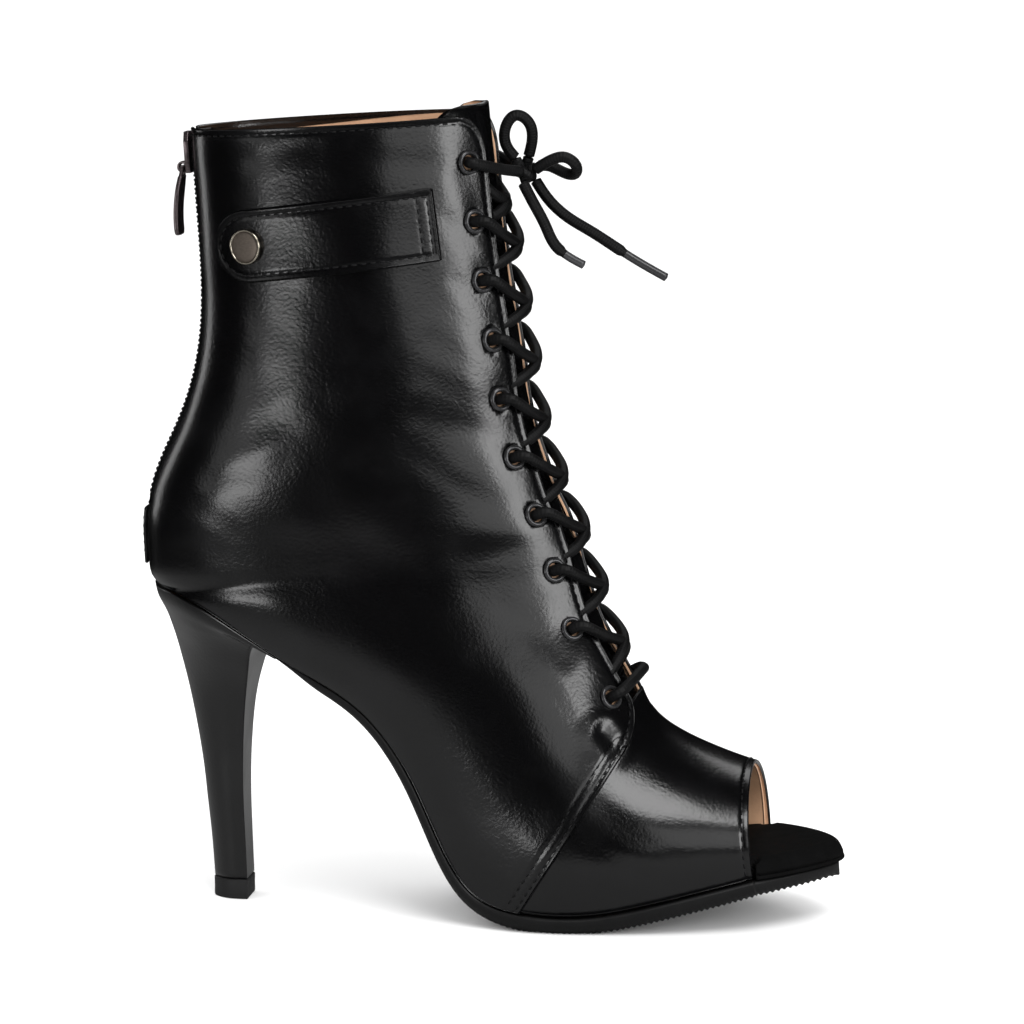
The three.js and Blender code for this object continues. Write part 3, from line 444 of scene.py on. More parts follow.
def capped(rings: Array) -> Surface:
    """Turns a stack of rings into a surface, closed in the middle of its first and last ring."""
    first, final = (np.broadcast_to(rings[i].mean(0), rings[:1].shape) for i in (0, -1))
    return grid(np.concatenate([first, rings, final]))


def sheet(outer: Array, inner: Array, bulge: float, steps: int = 3, fade: float = 1.5) -> Surface:
    """Closes two matching grids into a leather panel with a rounded rim.

    Each rim point lies on half an ellipse: middle + half cos t + outward bulge sin t, where
    outward leads away from the panel.

    Args:
        outer: The outer face's grid.
        inner: The inner face's grid, with the same rows and columns.
        bulge: How far the rim stands out.
        steps: Points across the rim.
        fade: The distance over which the edge mask fades.

    Returns:
        The surface, its outer face and rim with finish 0 and its inner face with finish 1.
    """
    rows, cols = outer.shape[:2]
    index = np.arange(rows * cols).reshape(rows, cols)
    loop = np.concatenate([index[0, :-1], index[:-1, -1], index[-1, :0:-1], index[:0:-1, 0]])
    row, col = loop // cols, loop % cols
    behind = np.clip(row, 1, rows - 2) * cols + np.clip(col, 1, cols - 2)
    flat, back = outer.reshape(-1, 3), inner.reshape(-1, 3)
    away = unit(flat[loop] - flat[behind])
    half = (flat[loop] - back[loop]) / 2
    away = unit(away - half * np.sum(away * half, 1, keepdims=True) / np.sum(half * half, 1, keepdims=True))
    turn = (np.pi * np.arange(1, steps + 1) / (steps + 1))[:, None, None]
    rim = (flat[loop] + back[loop]) / 2 + half * np.cos(turn) + away * bulge * np.sin(turn)
    count = rows * cols
    between = 2 * count + np.arange(steps * len(loop)).reshape(steps, -1)
    ring = np.concatenate([loop[None], between, loop[None] + count])
    ring = np.concatenate([ring, ring[:, :1]], 1)
    faces = np.concatenate([quads(index), quads(ring), quads(index + count)[:, ::-1]])
    part = np.zeros(len(faces), int)
    part[-len(quads(index)):] = 1
    points = np.concatenate([flat, back, rim.reshape(-1, 3)])
    gap = nearest(points, flat[loop])
    return Surface(points, faces.tolist(), part, None, np.exp(-gap / fade))


def nearest(points: Array, line: Array) -> Array:
    """Returns the distance from each point to the nearest of a line's points, block by block."""
    blocks = np.array_split(points.reshape(-1, 3), BLOCKS)
    found = [((block[:, None] - line[None]) ** 2).sum(-1).min(1) for block in blocks]
    return np.sqrt(np.concatenate(found)).reshape(points.shape[:-1])


def joined(pieces: Sequence[Surface]) -> Surface:
    """Puts several surfaces into one."""
    starts = np.cumsum([0] + [len(p.points) for p in pieces])
    faces = [[i + start for i in face] for p, start in zip(pieces, starts) for face in p.faces]
    uv = None if any(p.uv is None for p in pieces) else np.concatenate([p.uv for p in pieces])
    edge = None if any(p.edge is None for p in pieces) else np.concatenate([p.edge for p in pieces])
    points = np.concatenate([p.points for p in pieces])
    return Surface(points, faces, np.concatenate([p.part for p in pieces]), uv, edge)


def revolve(profile: Array, sides: int, frames: tuple[Array, Array, Array], centres: Array) -> Surface:
    """Turns a profile round an axis and sets a copy at each of several places.

    A point is centre + r (side cos t + up sin t) + h normal, for each radius r and height h.

    Args:
        profile: Rows of radius and height.
        sides: Faces round the axis.
        frames: The side, upward and outward directions at each place.
        centres: The places.

    Returns:
        The surface.
    """
    turn = np.linspace(0, 2 * np.pi, sides + 1)
    radius, height = profile[:, 0, None], profile[:, 1, None]
    flat = np.stack([radius * np.cos(turn), radius * np.sin(turn), height + 0 * turn], -1)
    copies = [grid(centre + flat @ np.stack(axes)) for centre, axes in zip(centres, zip(*frames))]
    return joined(copies)


def resample(route: Array, step: float) -> Array:
    """Carries a smooth curve through a route's points, with an even step along it.

    The argument of the spline grows by the square root of each distance, which keeps it from
    swinging out at short steps.

    Args:
        route: The points it passes through.
        step: The distance between the new points.

    Returns:
        The new points.
    """
    route = np.asarray(route, float)
    knots = np.concatenate([[0], np.cumsum(np.sqrt(np.linalg.norm(np.diff(route, axis=0), axis=1)))])
    fine = Spline(knots, route)(np.linspace(0, knots[-1], 60 * len(route)))
    run = run_along(fine)
    even = np.linspace(0, run[-1], max(8, round(run[-1] / step) + 1))
    return np.stack([np.interp(even, run, fine[:, k]) for k in range(3)], 1)


def tube(path: Array, radius: Array | float, across: Array, sides: int = 14) -> Surface:
    """Carries a circle along a path, closed at both ends by rounded caps.

    A point is path + r (side cos t + up sin t), with side square to the path and to across. The
    UV runs along the path in millimetres and once round it.

    Args:
        path: The centre line.
        radius: One radius, or one for each point of the path.
        across: A direction, or one for each point, that is never along the path.
        sides: Faces round it.

    Returns:
        The surface.
    """
    along = unit(np.gradient(path, axis=0))
    side = unit(np.cross(along, np.broadcast_to(across, path.shape)))
    up = np.cross(side, along)
    radius = np.broadcast_to(np.asarray(radius, float), (len(path),)).copy()
    cap = np.array([0.0, 0.55, 0.87])
    stand_out = 0.3 * (1 - cap[:, None])
    path = np.concatenate([path[:1] - along[:1] * radius[0] * stand_out, path,
                           path[-1:] + along[-1:] * radius[-1] * stand_out[::-1]])
    radius = np.concatenate([cap * radius[0], radius, cap[::-1] * radius[-1]])
    side, up = (np.concatenate([v[:1].repeat(3, 0), v, v[-1:].repeat(3, 0)]) for v in (side, up))
    turn = np.linspace(0, 2 * np.pi, sides + 1)[None, :, None]
    ring = side[:, None] * np.cos(turn) + up[:, None] * np.sin(turn)
    points = path[:, None] + radius[:, None, None] * ring
    run = run_along(path)
    uv = np.stack(np.broadcast_arrays(run[:, None], np.linspace(0, 1, sides + 1)), -1)
    return grid(points, uv)


@dataclass
class Stitches:
    """A row of short threads, each a slim bean that dips into the leather at both ends."""

    pitch: float = 2.9
    length: float = 2.1
    thread: float = 0.26
    dip: float = 0.35

    def along(self, line: Array, normal: Array, lift: float = 0.12) -> Surface:
        """Sews along a line on the leather.

        Each stitch is a grid of rings: x runs along it, the ring's radius is r sqrt(1 - x^4),
        and its middle dips by the square of x.

        Args:
            line: Points on the leather.
            normal: The outward direction at each point.
            lift: How far the thread's middle stands above the leather.

        Returns:
            All the stitches as one surface.
        """
        run = run_along(line)
        middle = np.arange(self.pitch / 2, run[-1], self.pitch)

        def at(where: Array, values: Array) -> Array:
            """Reads values at distances along the line."""
            return np.stack([np.interp(where, run, values[:, k]) for k in range(3)], -1)

        start, end = at(middle - self.length / 2, line), at(middle + self.length / 2, line)
        centre, out = (start + end) / 2, unit(at(middle, normal))
        ahead = unit(end - start)
        beside = np.cross(out, ahead)
        x = np.linspace(-1, 1, 7)[None, :, None]
        turn = np.linspace(0, 2 * np.pi, 7)[None, None, :]
        size = self.thread * np.sqrt(np.maximum(0, 1 - x**4))
        spine = centre[:, None, None] + ahead[:, None, None] * (x * self.length / 2)[..., None]
        spine = spine + out[:, None, None] * (lift - self.dip * x**2)[..., None]
        ring = beside[:, None, None] * (size * np.cos(turn))[..., None]
        ring = ring + out[:, None, None] * (size * np.sin(turn))[..., None]
        return beads(spine + ring)


def placed(name: str, data: bpy.types.ID) -> Piece:
    """Adds an object to the scene."""
    obj = bpy.data.objects.new(name, data)
    bpy.context.scene.collection.objects.link(obj)
    return obj


@dataclass
class Workshop:
    """Turns surfaces into objects that ride on the frame."""

    last: Last

    def piece(self, name: str, surface: Surface, finishes: Sequence[bpy.types.Material], slot: str,
              replaces: Sequence[str] = (), body: Body = Body.BOOT) -> Piece:
        """Makes one object from a surface in the last's frame.

        Points that lie in one place are merged, which closes seams and poles, and a closed shape
        that faces inwards is turned round.

        Args:
            name: The object's name.
            surface: Its points and faces, in millimetres.
            finishes: Its materials, in the order of the faces' parts.
            slot: The record's material slot; not used.
            replaces: The frame's nodes that it stands for.
            body: The body that it rides on.

        Returns:
            The object.
        """
        mesh = bpy.data.meshes.new(name)
        mesh.from_pydata(self.last.settle(surface.points).tolist(), [], surface.faces)
        mesh.polygons.foreach_set("material_index", surface.part.astype(np.int32))
        if surface.uv is not None:
            corner = np.empty(len(mesh.loops), np.int32)
            mesh.loops.foreach_get("vertex_index", corner)
            layer = mesh.uv_layers.new(name="run")
            layer.data.foreach_set("uv", surface.uv[corner].astype(np.float32).ravel())
        if surface.edge is not None:
            mask = mesh.attributes.new("edge", "FLOAT", "POINT")
            mask.data.foreach_set("value", surface.edge.astype(np.float32))
        shape = bmesh.new()
        shape.from_mesh(mesh)
        bmesh.ops.remove_doubles(shape, verts=shape.verts, dist=MERGE)
        if shape.calc_volume(signed=True) < 0:
            bmesh.ops.reverse_faces(shape, faces=shape.faces)
        shape.to_mesh(mesh)
        shape.free()
        mesh.shade_smooth()
        obj = placed(name, mesh)
        for finish in finishes:
            mesh.materials.append(finish)
        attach(obj, body.value)
        if replaces:
            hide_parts(*replaces)
        LOG.info("%s: %d faces", name, len(mesh.polygons))
        return obj


# ---------------------------------------------------------------- finishes


@dataclass
class Nodes:
    """A short way to add and join shader nodes."""

    tree: bpy.types.NodeTree

    def add(self, kind: str, inputs: dict | None = None, **settings: object) -> bpy.types.Node:
        """Adds one node.

        Args:
            kind: The node's type, after ShaderNode.
            inputs: Values or sockets by input name or number.
            **settings: The node's own properties.

        Returns:
            The node.
        """
        node = self.tree.nodes.new(f"ShaderNode{kind}")
        for name, value in settings.items():
            setattr(node, name, value)
        for name, value in (inputs or {}).items():
            if isinstance(value, Socket):
                self.tree.links.new(value, node.inputs[name])
            else:
                node.inputs[name].default_value = value
        return node

    def noise(self, where: Socket, scale: float | Socket, detail: float = 2.0,
              distortion: float = 0.0) -> Socket:
        """Adds a noise and returns its value."""
        values = {"Vector": where, "Scale": scale, "Detail": detail, "Distortion": distortion}
        return self.add("TexNoise", values).outputs["Fac"]

    def maths(self, kind: str, *values: float | Socket) -> Socket:
        """Adds a sum and returns its value."""
        return self.add("Math", dict(enumerate(values)), operation=kind).outputs[0]

    def vector(self, kind: str, inputs: dict) -> Socket:
        """Adds a vector sum and returns its vector."""
        return self.add("VectorMath", inputs, operation=kind).outputs[0]

    def per_size(self, entry: Outputs) -> Socket:
        """Returns the scale of a texture whose cells are as large as a group's Size."""
        return self.maths("DIVIDE", 1.0, entry["Size"])

    def feed(self, node: bpy.types.Node, sockets: dict[str, Socket]) -> None:
        """Joins sockets to a node's inputs by name."""
        for name, socket in sockets.items():
            self.tree.links.new(socket, node.inputs[name])

    def ramp(self, value: Socket, low: float, high: float, out_low: float = 0.0,
             out_high: float = 1.0) -> Socket:
        """Maps a range of a value to another, smoothly and clamped."""
        values = {"Value": value, "From Min": low, "From Max": high, "To Min": out_low, "To Max": out_high}
        return self.add("MapRange", values, interpolation_type="SMOOTHSTEP").outputs["Result"]

    def blend(self, share: Socket, one: object, other: object) -> Socket:
        """Mixes two colours and returns the result."""
        values = {"Factor": share, 6: one, 7: other}
        return self.add("Mix", values, data_type="RGBA").outputs[2]

    def bump(self, height: Socket, depth: float, strength: float = 1.0,
             under: Socket | None = None) -> Socket:
        """Adds a bump over another one and returns its normal."""
        values = {"Height": height, "Distance": depth, "Strength": strength}
        if under is not None:
            values["Normal"] = under
        return self.add("Bump", values).outputs["Normal"]


class Pattern(Enum):
    """The shader groups that the materials share."""

    CRINKLE = "leather_crinkle"
    GRAIN = "fine_grain"
    RUBBED = "rubbed_edges"
    BRAID = "cord_braid"
    NAP = "suede_nap"
    SCRATCH = "metal_scratches"


class Patterns:
    """Builds each shared shader group once."""

    def __init__(self) -> None:
        """Builds all the groups."""
        makers = {
            Pattern.CRINKLE: (self.crinkle, {"Size": 0.004, "Cover": 0.5}, ("Height", "Mask")),
            Pattern.GRAIN: (self.grain, {"Size": 0.0005}, ("Height", "Mask")),
            Pattern.RUBBED: (self.rubbed, {"Size": 0.02, "Edge": 0.5}, ("Mask",)),
            Pattern.BRAID: (self.braid, {"Pitch": 1.6, "Strands": 4.0}, ("Height", "Mask")),
            Pattern.NAP: (self.nap, {"Size": 0.0006}, ("Height", "Mask")),
            Pattern.SCRATCH: (self.scratch, {"Size": 0.001}, ("Height", "Mask")),
        }
        self.trees = {}
        for pattern, (maker, inputs, outputs) in makers.items():
            tree = bpy.data.node_groups.new(pattern.value, "ShaderNodeTree")
            for name, value in inputs.items():
                socket = tree.interface.new_socket(name, in_out="INPUT", socket_type="NodeSocketFloat")
                socket.default_value = value
            for name in outputs:
                tree.interface.new_socket(name, in_out="OUTPUT", socket_type="NodeSocketFloat")
            nodes = Nodes(tree)
            entry = tree.nodes.new("NodeGroupInput").outputs
            nodes.feed(tree.nodes.new("NodeGroupOutput"), maker(nodes, entry))
            self.trees[pattern] = tree

    @staticmethod
    def place(nodes: Nodes) -> Socket:
        """Returns the object's own coordinates, in metres."""
        return nodes.add("TexCoord").outputs["Object"]

    def crinkle(self, nodes: Nodes, entry: Outputs) -> dict:
        """Draws a warped net of soft folds that shows only in patches.

        Args:
            nodes: Where the nodes go.
            entry: The group's inputs: the net's cell in metres, and how much it covers.

        Returns:
            The group's outputs.
        """
        where = self.place(nodes)
        scale = nodes.per_size(entry)
        broad = nodes.maths("MULTIPLY", scale, 0.4)
        swirl = nodes.add("TexNoise", {"Vector": where, "Scale": broad}).outputs["Color"]
        push = nodes.vector("SUBTRACT", {0: swirl, 1: (0.5, 0.5, 0.5)})
        reach = nodes.maths("MULTIPLY", entry["Size"], 2.6)
        moved = nodes.vector("SCALE", {0: push, "Scale": reach})
        bent = nodes.vector("ADD", {0: where, 1: moved})
        cells = {"Vector": bent, "Scale": scale}
        net = nodes.add("TexVoronoi", cells, feature="DISTANCE_TO_EDGE").outputs["Distance"]
        folds = nodes.ramp(net, 0.0, 0.5)
        tiny = nodes.noise(bent, nodes.maths("MULTIPLY", scale, 2.2), 3.0)
        both = nodes.maths("ADD", nodes.maths("MULTIPLY", folds, 0.3), nodes.maths("MULTIPLY", tiny, 0.9))
        patch = nodes.noise(where, 34.0, 1.0, 0.6)
        open_at = nodes.maths("SUBTRACT", 0.78, nodes.maths("MULTIPLY", entry["Cover"], 0.5))
        cover = nodes.maths("SUBTRACT", patch, open_at)
        mask = nodes.ramp(cover, -0.16, 0.2)
        soft = nodes.maths("ADD", nodes.maths("MULTIPLY", mask, 0.75), 0.25)
        return {"Height": nodes.maths("MULTIPLY", both, soft), "Mask": mask}

    def grain(self, nodes: Nodes, entry: Outputs) -> dict:
        """Draws small pebbles: rounded cells over a finer noise.

        Args:
            nodes: Where the nodes go.
            entry: The group's input, the cell in metres.

        Returns:
            The group's outputs.
        """
        where = self.place(nodes)
        scale = nodes.per_size(entry)
        cells = nodes.add("TexVoronoi", {"Vector": where, "Scale": scale}, feature="SMOOTH_F1")
        fine = nodes.noise(where, scale, 3.0)
        height = nodes.maths("SUBTRACT", nodes.maths("MULTIPLY", fine, 0.7), cells.outputs["Distance"])
        return {"Height": height, "Mask": fine}

    def rubbed(self, nodes: Nodes, entry: Outputs) -> dict:
        """Draws where the surface is rubbed: cloudy patches, and the rims by the piece's edge mask.

        Args:
            nodes: Where the nodes go.
            entry: The group's inputs: the clouds' size, and how much the rims count.

        Returns:
            The group's outputs.
        """
        where = self.place(nodes)
        cloud = nodes.noise(where, nodes.per_size(entry), 4.0)
        rim = nodes.add("Attribute", attribute_name="edge").outputs["Fac"]
        rims = nodes.maths("MULTIPLY", rim, entry["Edge"])
        worn = nodes.maths("MULTIPLY", rims, nodes.ramp(cloud, 0.3, 0.6, 0.4))
        return {"Mask": nodes.maths("ADD", nodes.ramp(cloud, 0.42, 0.7), worn)}

    def braid(self, nodes: Nodes, entry: Outputs) -> dict:
        """Draws a cord's braid from its UV: two opposite spirals multiplied, over fine fibres; its mask
        paints shade into the grooves between the strands.

        Args:
            nodes: Where the nodes go.
            entry: The group's inputs: the braid's pitch in millimetres, and its strands.

        Returns:
            The group's outputs.
        """
        layer = nodes.add("UVMap", uv_map="run").outputs["UV"]
        run = nodes.add("SeparateXYZ", {0: layer})
        along = nodes.maths("DIVIDE", run.outputs["X"], entry["Pitch"])
        round_it = nodes.maths("MULTIPLY", run.outputs["Y"], entry["Strands"])
        waves = [
            nodes.maths("SINE", nodes.maths("MULTIPLY", nodes.maths(kind, along, round_it), 2 * math.pi))
            for kind in ("ADD", "SUBTRACT")
        ]
        weave = nodes.maths("MULTIPLY_ADD", nodes.maths("MULTIPLY", *waves), 0.5, 0.5)
        fibre = nodes.noise(self.place(nodes), 3200.0, 2.0)
        height = nodes.maths("ADD", weave, nodes.maths("MULTIPLY", fibre, 0.6))
        # The mask is low in the weave's grooves, so the colour taken from it is painted shade there, with
        # random fibre tone over it.
        return {"Height": height, "Mask": nodes.maths("MULTIPLY", weave, fibre)}

    def nap(self, nodes: Nodes, entry: Outputs) -> dict:
        """Draws brushed hairs: a fine noise over broad strokes.

        Args:
            nodes: Where the nodes go.
            entry: The group's input, the hairs' size.

        Returns:
            The group's outputs.
        """
        where = self.place(nodes)
        hair = nodes.noise(where, nodes.per_size(entry), 4.0, 0.8)
        stroke = nodes.noise(where, 90.0, 2.0, 1.2)
        return {"Height": hair, "Mask": nodes.maths("MULTIPLY", hair, stroke)}

    def scratch(self, nodes: Nodes, entry: Outputs) -> dict:
        """Draws fine scratches: a noise drawn out along X.

        Args:
            nodes: Where the nodes go.
            entry: The group's input, the scratches' spacing.

        Returns:
            The group's outputs.
        """
        drawn = {"Vector": self.place(nodes), "Scale": (0.25, 1.0, 1.0)}
        lines = nodes.noise(nodes.add("Mapping", drawn).outputs[0], nodes.per_size(entry), 3.0)
        return {"Height": lines, "Mask": nodes.ramp(lines, 0.4, 0.65)}


@dataclass(frozen=True)
class Finish:
    """What every finish has: a name, a colour and plain values of its shader."""

    name: str
    colour: tuple[float, float, float]
    roughness: float = 0.5
    metallic: float = 0.0
    coat: float = 0.0
    coat_roughness: float = 0.1
    sheen: float = 0.0
    specular: float = 0.5

    def shader(self) -> tuple[bpy.types.Material, Nodes, bpy.types.Node]:
        """Makes the material with its plain values.

        Returns:
            The material, its nodes and its shader.
        """
        material = bpy.data.materials.new(self.name)
        material.use_nodes = True
        base = material.node_tree.nodes["Principled BSDF"]
        values = {
            "Base Color": (*self.colour, 1), "Roughness": self.roughness, "Metallic": self.metallic,
            "Coat Weight": self.coat, "Coat Roughness": self.coat_roughness, "Sheen Weight": self.sheen,
            "Specular IOR Level": self.specular,
        }
        for name, value in values.items():
            base.inputs[name].default_value = value
        return material, Nodes(material.node_tree), base

    def tint(self, factor: float) -> tuple[float, float, float, float]:
        """Returns the colour made lighter or darker."""
        return (*(min(1.0, c * factor) for c in self.colour), 1.0)


@dataclass(frozen=True)
class Leather(Finish):
    """Glossy finished leather: grain, crinkled patches and rubbed rims."""

    crinkle: float = 0.75
    crinkle_depth: float = 0.00005
    crinkle_size: float = 0.0022
    grain_size: float = 0.0009
    grain_depth: float = 0.00003
    rub: float = 0.6

    def build(self, patterns: Patterns) -> bpy.types.Material:
        """Makes the material from the shared groups."""
        material, nodes, base = self.shader()
        trees = patterns.trees
        net = {"Size": self.crinkle_size, "Cover": self.crinkle}
        folds = nodes.add("Group", net, node_tree=trees[Pattern.CRINKLE])
        pebbles = nodes.add("Group", {"Size": self.grain_size}, node_tree=trees[Pattern.GRAIN])
        rubbed = nodes.add("Group", {"Edge": self.rub}, node_tree=trees[Pattern.RUBBED])
        worn = rubbed.outputs["Mask"]
        low = nodes.bump(folds.outputs["Height"], self.crinkle_depth)
        normal = nodes.bump(pebbles.outputs["Height"], self.grain_depth, 1.0, low)
        colour = nodes.blend(worn, self.tint(1.0), self.tint(1.6))
        rough = nodes.ramp(worn, 0.0, 1.0, self.roughness * 0.94, self.roughness * 1.12)
        nodes.feed(base, {"Normal": normal, "Base Color": colour, "Roughness": rough})
        return material


@dataclass(frozen=True)
class Matt(Finish):
    """Matt or metal goods whose small relief and clouds come from one shared group."""

    pattern: Pattern = Pattern.GRAIN
    size: float = 0.0005
    depth: float = 0.00004
    contrast: float = 1.6
    cloud_size: float = 0.006

    def build(self, patterns: Patterns) -> bpy.types.Material:
        """Makes the material from its shared group."""
        material, nodes, base = self.shader()
        relief = nodes.add("Group", {0: self.size}, node_tree=patterns.trees[self.pattern])
        clouds = {"Size": self.cloud_size}
        rubbed = nodes.add("Group", clouds, node_tree=patterns.trees[Pattern.RUBBED])
        cloudy = nodes.maths("MULTIPLY", rubbed.outputs["Mask"], 0.4)
        mask = nodes.maths("MULTIPLY_ADD", relief.outputs["Mask"], 0.6, cloudy)
        colour = nodes.blend(mask, self.tint(1 / self.contrast), self.tint(self.contrast))
        rough = nodes.ramp(mask, 0.0, 1.0, self.roughness * 0.85, min(1.0, self.roughness * 1.2))
        normal = nodes.bump(relief.outputs["Height"], self.depth)
        nodes.feed(base, {"Normal": normal, "Base Color": colour, "Roughness": rough})
        return material


class Finishes:
    """All the boot's materials."""

    def __init__(self) -> None:
        """Builds the shared groups and then every material."""
        patterns = Patterns()
        black = (0.0011, 0.0011, 0.0013)
        self.leather = Leather("black_leather", black, 0.22, coat=0.2, coat_roughness=0.13).build(patterns)
        self.heel = Leather("heel_leather", black, 0.3, coat=0.3, coat_roughness=0.16, crinkle=0.1,
                            crinkle_depth=0.00006).build(patterns)
        self.lining = Matt("tan_lining", (0.5, 0.3, 0.18), 0.62, size=0.0007, contrast=1.15).build(patterns)
        self.suede = Matt("black_suede", (0.0012, 0.0012, 0.0013), 0.96, specular=0.12,
                          pattern=Pattern.NAP, depth=0.00012, contrast=2.2).build(patterns)
        self.rubber = Matt("sole_rubber", (0.003, 0.003, 0.0032), 0.5, specular=0.3,
                           contrast=1.3).build(patterns)
        self.tip = Matt("tip_rubber", (0.005, 0.005, 0.0055), 0.6, contrast=1.3).build(patterns)
        # The cord's colour follows the braid's mask: painted shade in the grooves between the strands.
        self.cord = Matt("waxed_cord", (0.0024, 0.0024, 0.0027), 0.62, specular=0.25,
                         pattern=Pattern.BRAID, size=1.7, depth=0.00016, contrast=1.9).build(patterns)
        self.thread = Matt("black_thread", (0.004, 0.004, 0.0045), 0.6, specular=0.25, size=0.0003,
                           depth=0.00002).build(patterns)
        self.enamel = Matt("black_enamel", (0.05, 0.05, 0.052), 0.18, metallic=0.7, pattern=Pattern.SCRATCH,
                           size=0.0006, depth=0.000004, contrast=1.3).build(patterns)
        self.gunmetal = Matt("gunmetal", (0.2, 0.165, 0.17), 0.33, metallic=0.95, pattern=Pattern.SCRATCH,
                             size=0.0005, depth=0.000006, contrast=1.25).build(patterns)
        self.bronze = Matt("bronze_face", (0.13, 0.108, 0.09), 0.42, metallic=0.8, pattern=Pattern.SCRATCH,
                           size=0.0004, depth=0.000006, contrast=1.15).build(patterns)
        self.brass = Matt("bright_rim", (0.62, 0.56, 0.46), 0.22, metallic=1.0, pattern=Pattern.SCRATCH,
                          size=0.0004, depth=0.000004, contrast=1.15).build(patterns)
        self.tape = Matt("zip_tape", (0.005, 0.005, 0.0055), 0.85, sheen=0.04, size=0.0004, depth=0.00008,
                         contrast=1.5).build(patterns)
        self.coil = Matt("zip_teeth", (0.008, 0.008, 0.0085), 0.35, size=0.0005, depth=0.00001,
                         contrast=1.2).build(patterns)
        self.aglet_grey = Matt("grey_aglet", (0.03, 0.03, 0.032), 0.35, size=0.0006, depth=0.00001,
                               contrast=1.2).build(patterns)
        self.aglet_black = Matt("black_aglet", (0.02, 0.02, 0.021), 0.3, size=0.0006, depth=0.00001,
                                contrast=1.2).build(patterns)


# ---------------------------------------------------------------- the boot


@dataclass(frozen=True)
class Crease:
    """A soft trough between two spots of the side view, with a ridge beside it, in millimetres."""

    start: tuple[float, float]
    end: tuple[float, float]
    width: float
    depth: float


@dataclass
class Hide:
    """The leather's own unevenness: its creases, on both sides of the shoe, and a slow ripple."""

    creases: tuple[Crease, ...] = (
        Crease((104, 232), (112, 214), 3.0, 0.105),
        Crease((100, 219), (111, 203), 2.6, 0.084),
        Crease((102, 200), (114, 190), 2.4, 0.066),
        Crease((96, 182), (116, 168), 3.2, 0.09),
        Crease((92, 160), (118, 150), 3.4, 0.096),
        Crease((88, 148), (112, 132), 3.0, 0.075),
        Crease((30, 150), (62, 162), 4.0, 0.09),
        Crease((24, 138), (50, 144), 3.2, 0.066),
        Crease((14, 134), (34, 122), 2.8, 0.075),
        Crease((28, 236), (60, 241), 3.2, 0.075),
        Crease((70, 238), (96, 236), 3.4, 0.084),
        Crease((60, 132), (92, 104), 5.0, 0.105),
        Crease((118, 100), (136, 84), 2.8, 0.09),
        Crease((124, 84), (140, 66), 2.6, 0.075),
        Crease((148.5, 62), (152.5, 57.5), 2.2, 0.6),
        Crease((150, 40), (172, 26), 3.2, 0.084),
        Crease((146, 30), (166, 18), 2.8, 0.075),
    )
    ridge: float = 0.5
    ridge_at: float = 1.8
    ripples: int = 28
    ripple_lengths: tuple[float, float] = (14, 45)
    height: float = 0.055

    def relief(self, points: Array) -> Array:
        """Returns how far the leather stands out: creases and a slow random ripple.

        A crease is -depth e^(-(d / w)^2) plus half of that as a ridge at 1.8 w, fading to its
        ends. The ripple is a sum of sines over seeded directions, 14 to 45 mm long.

        Args:
            points: Points of the smooth surface, in millimetres.

        Returns:
            The height at each point.
        """
        rng = np.random.default_rng(7)
        direction = unit(rng.normal(size=(3, self.ripples)).T).T
        waves = direction * 2 * np.pi / rng.uniform(*self.ripple_lengths, self.ripples)
        phase = rng.uniform(0, 2 * np.pi, self.ripples)
        total = np.sin(points @ waves + phase).sum(-1) * self.height / math.sqrt(self.ripples / 2)
        for crease in self.creases:
            start, end = np.array(crease.start), np.array(crease.end)
            arm = points[..., [0, 2]] - start
            way = end - start
            share = np.clip(arm @ way / (way @ way), 0, 1)
            gap = np.linalg.norm(arm - share[..., None] * way, axis=-1)
            ridge = self.ridge * bell(gap - self.ridge_at * crease.width, crease.width)
            total = total + (ridge - bell(gap, crease.width)) * crease.depth
        return total


def stitched(gap: Array, *rows: float) -> Array:
    """Returns the grooves that rows of stitches pull into leather, at distances from its edge."""
    grooves = sum(-GROOVE_DEPTH * bell(gap - row, GROOVE_WIDTH) for row in rows)
    return grooves + RIM_RISE * bell(gap, RIM_WIDTH)


@dataclass
class Assembly:
    """What every sub-assembly of the boot works with."""

    shop: Workshop
    finishes: Finishes

    @property
    def last(self) -> Last:
        """Returns the last that the boot is built on."""
        return self.shop.last


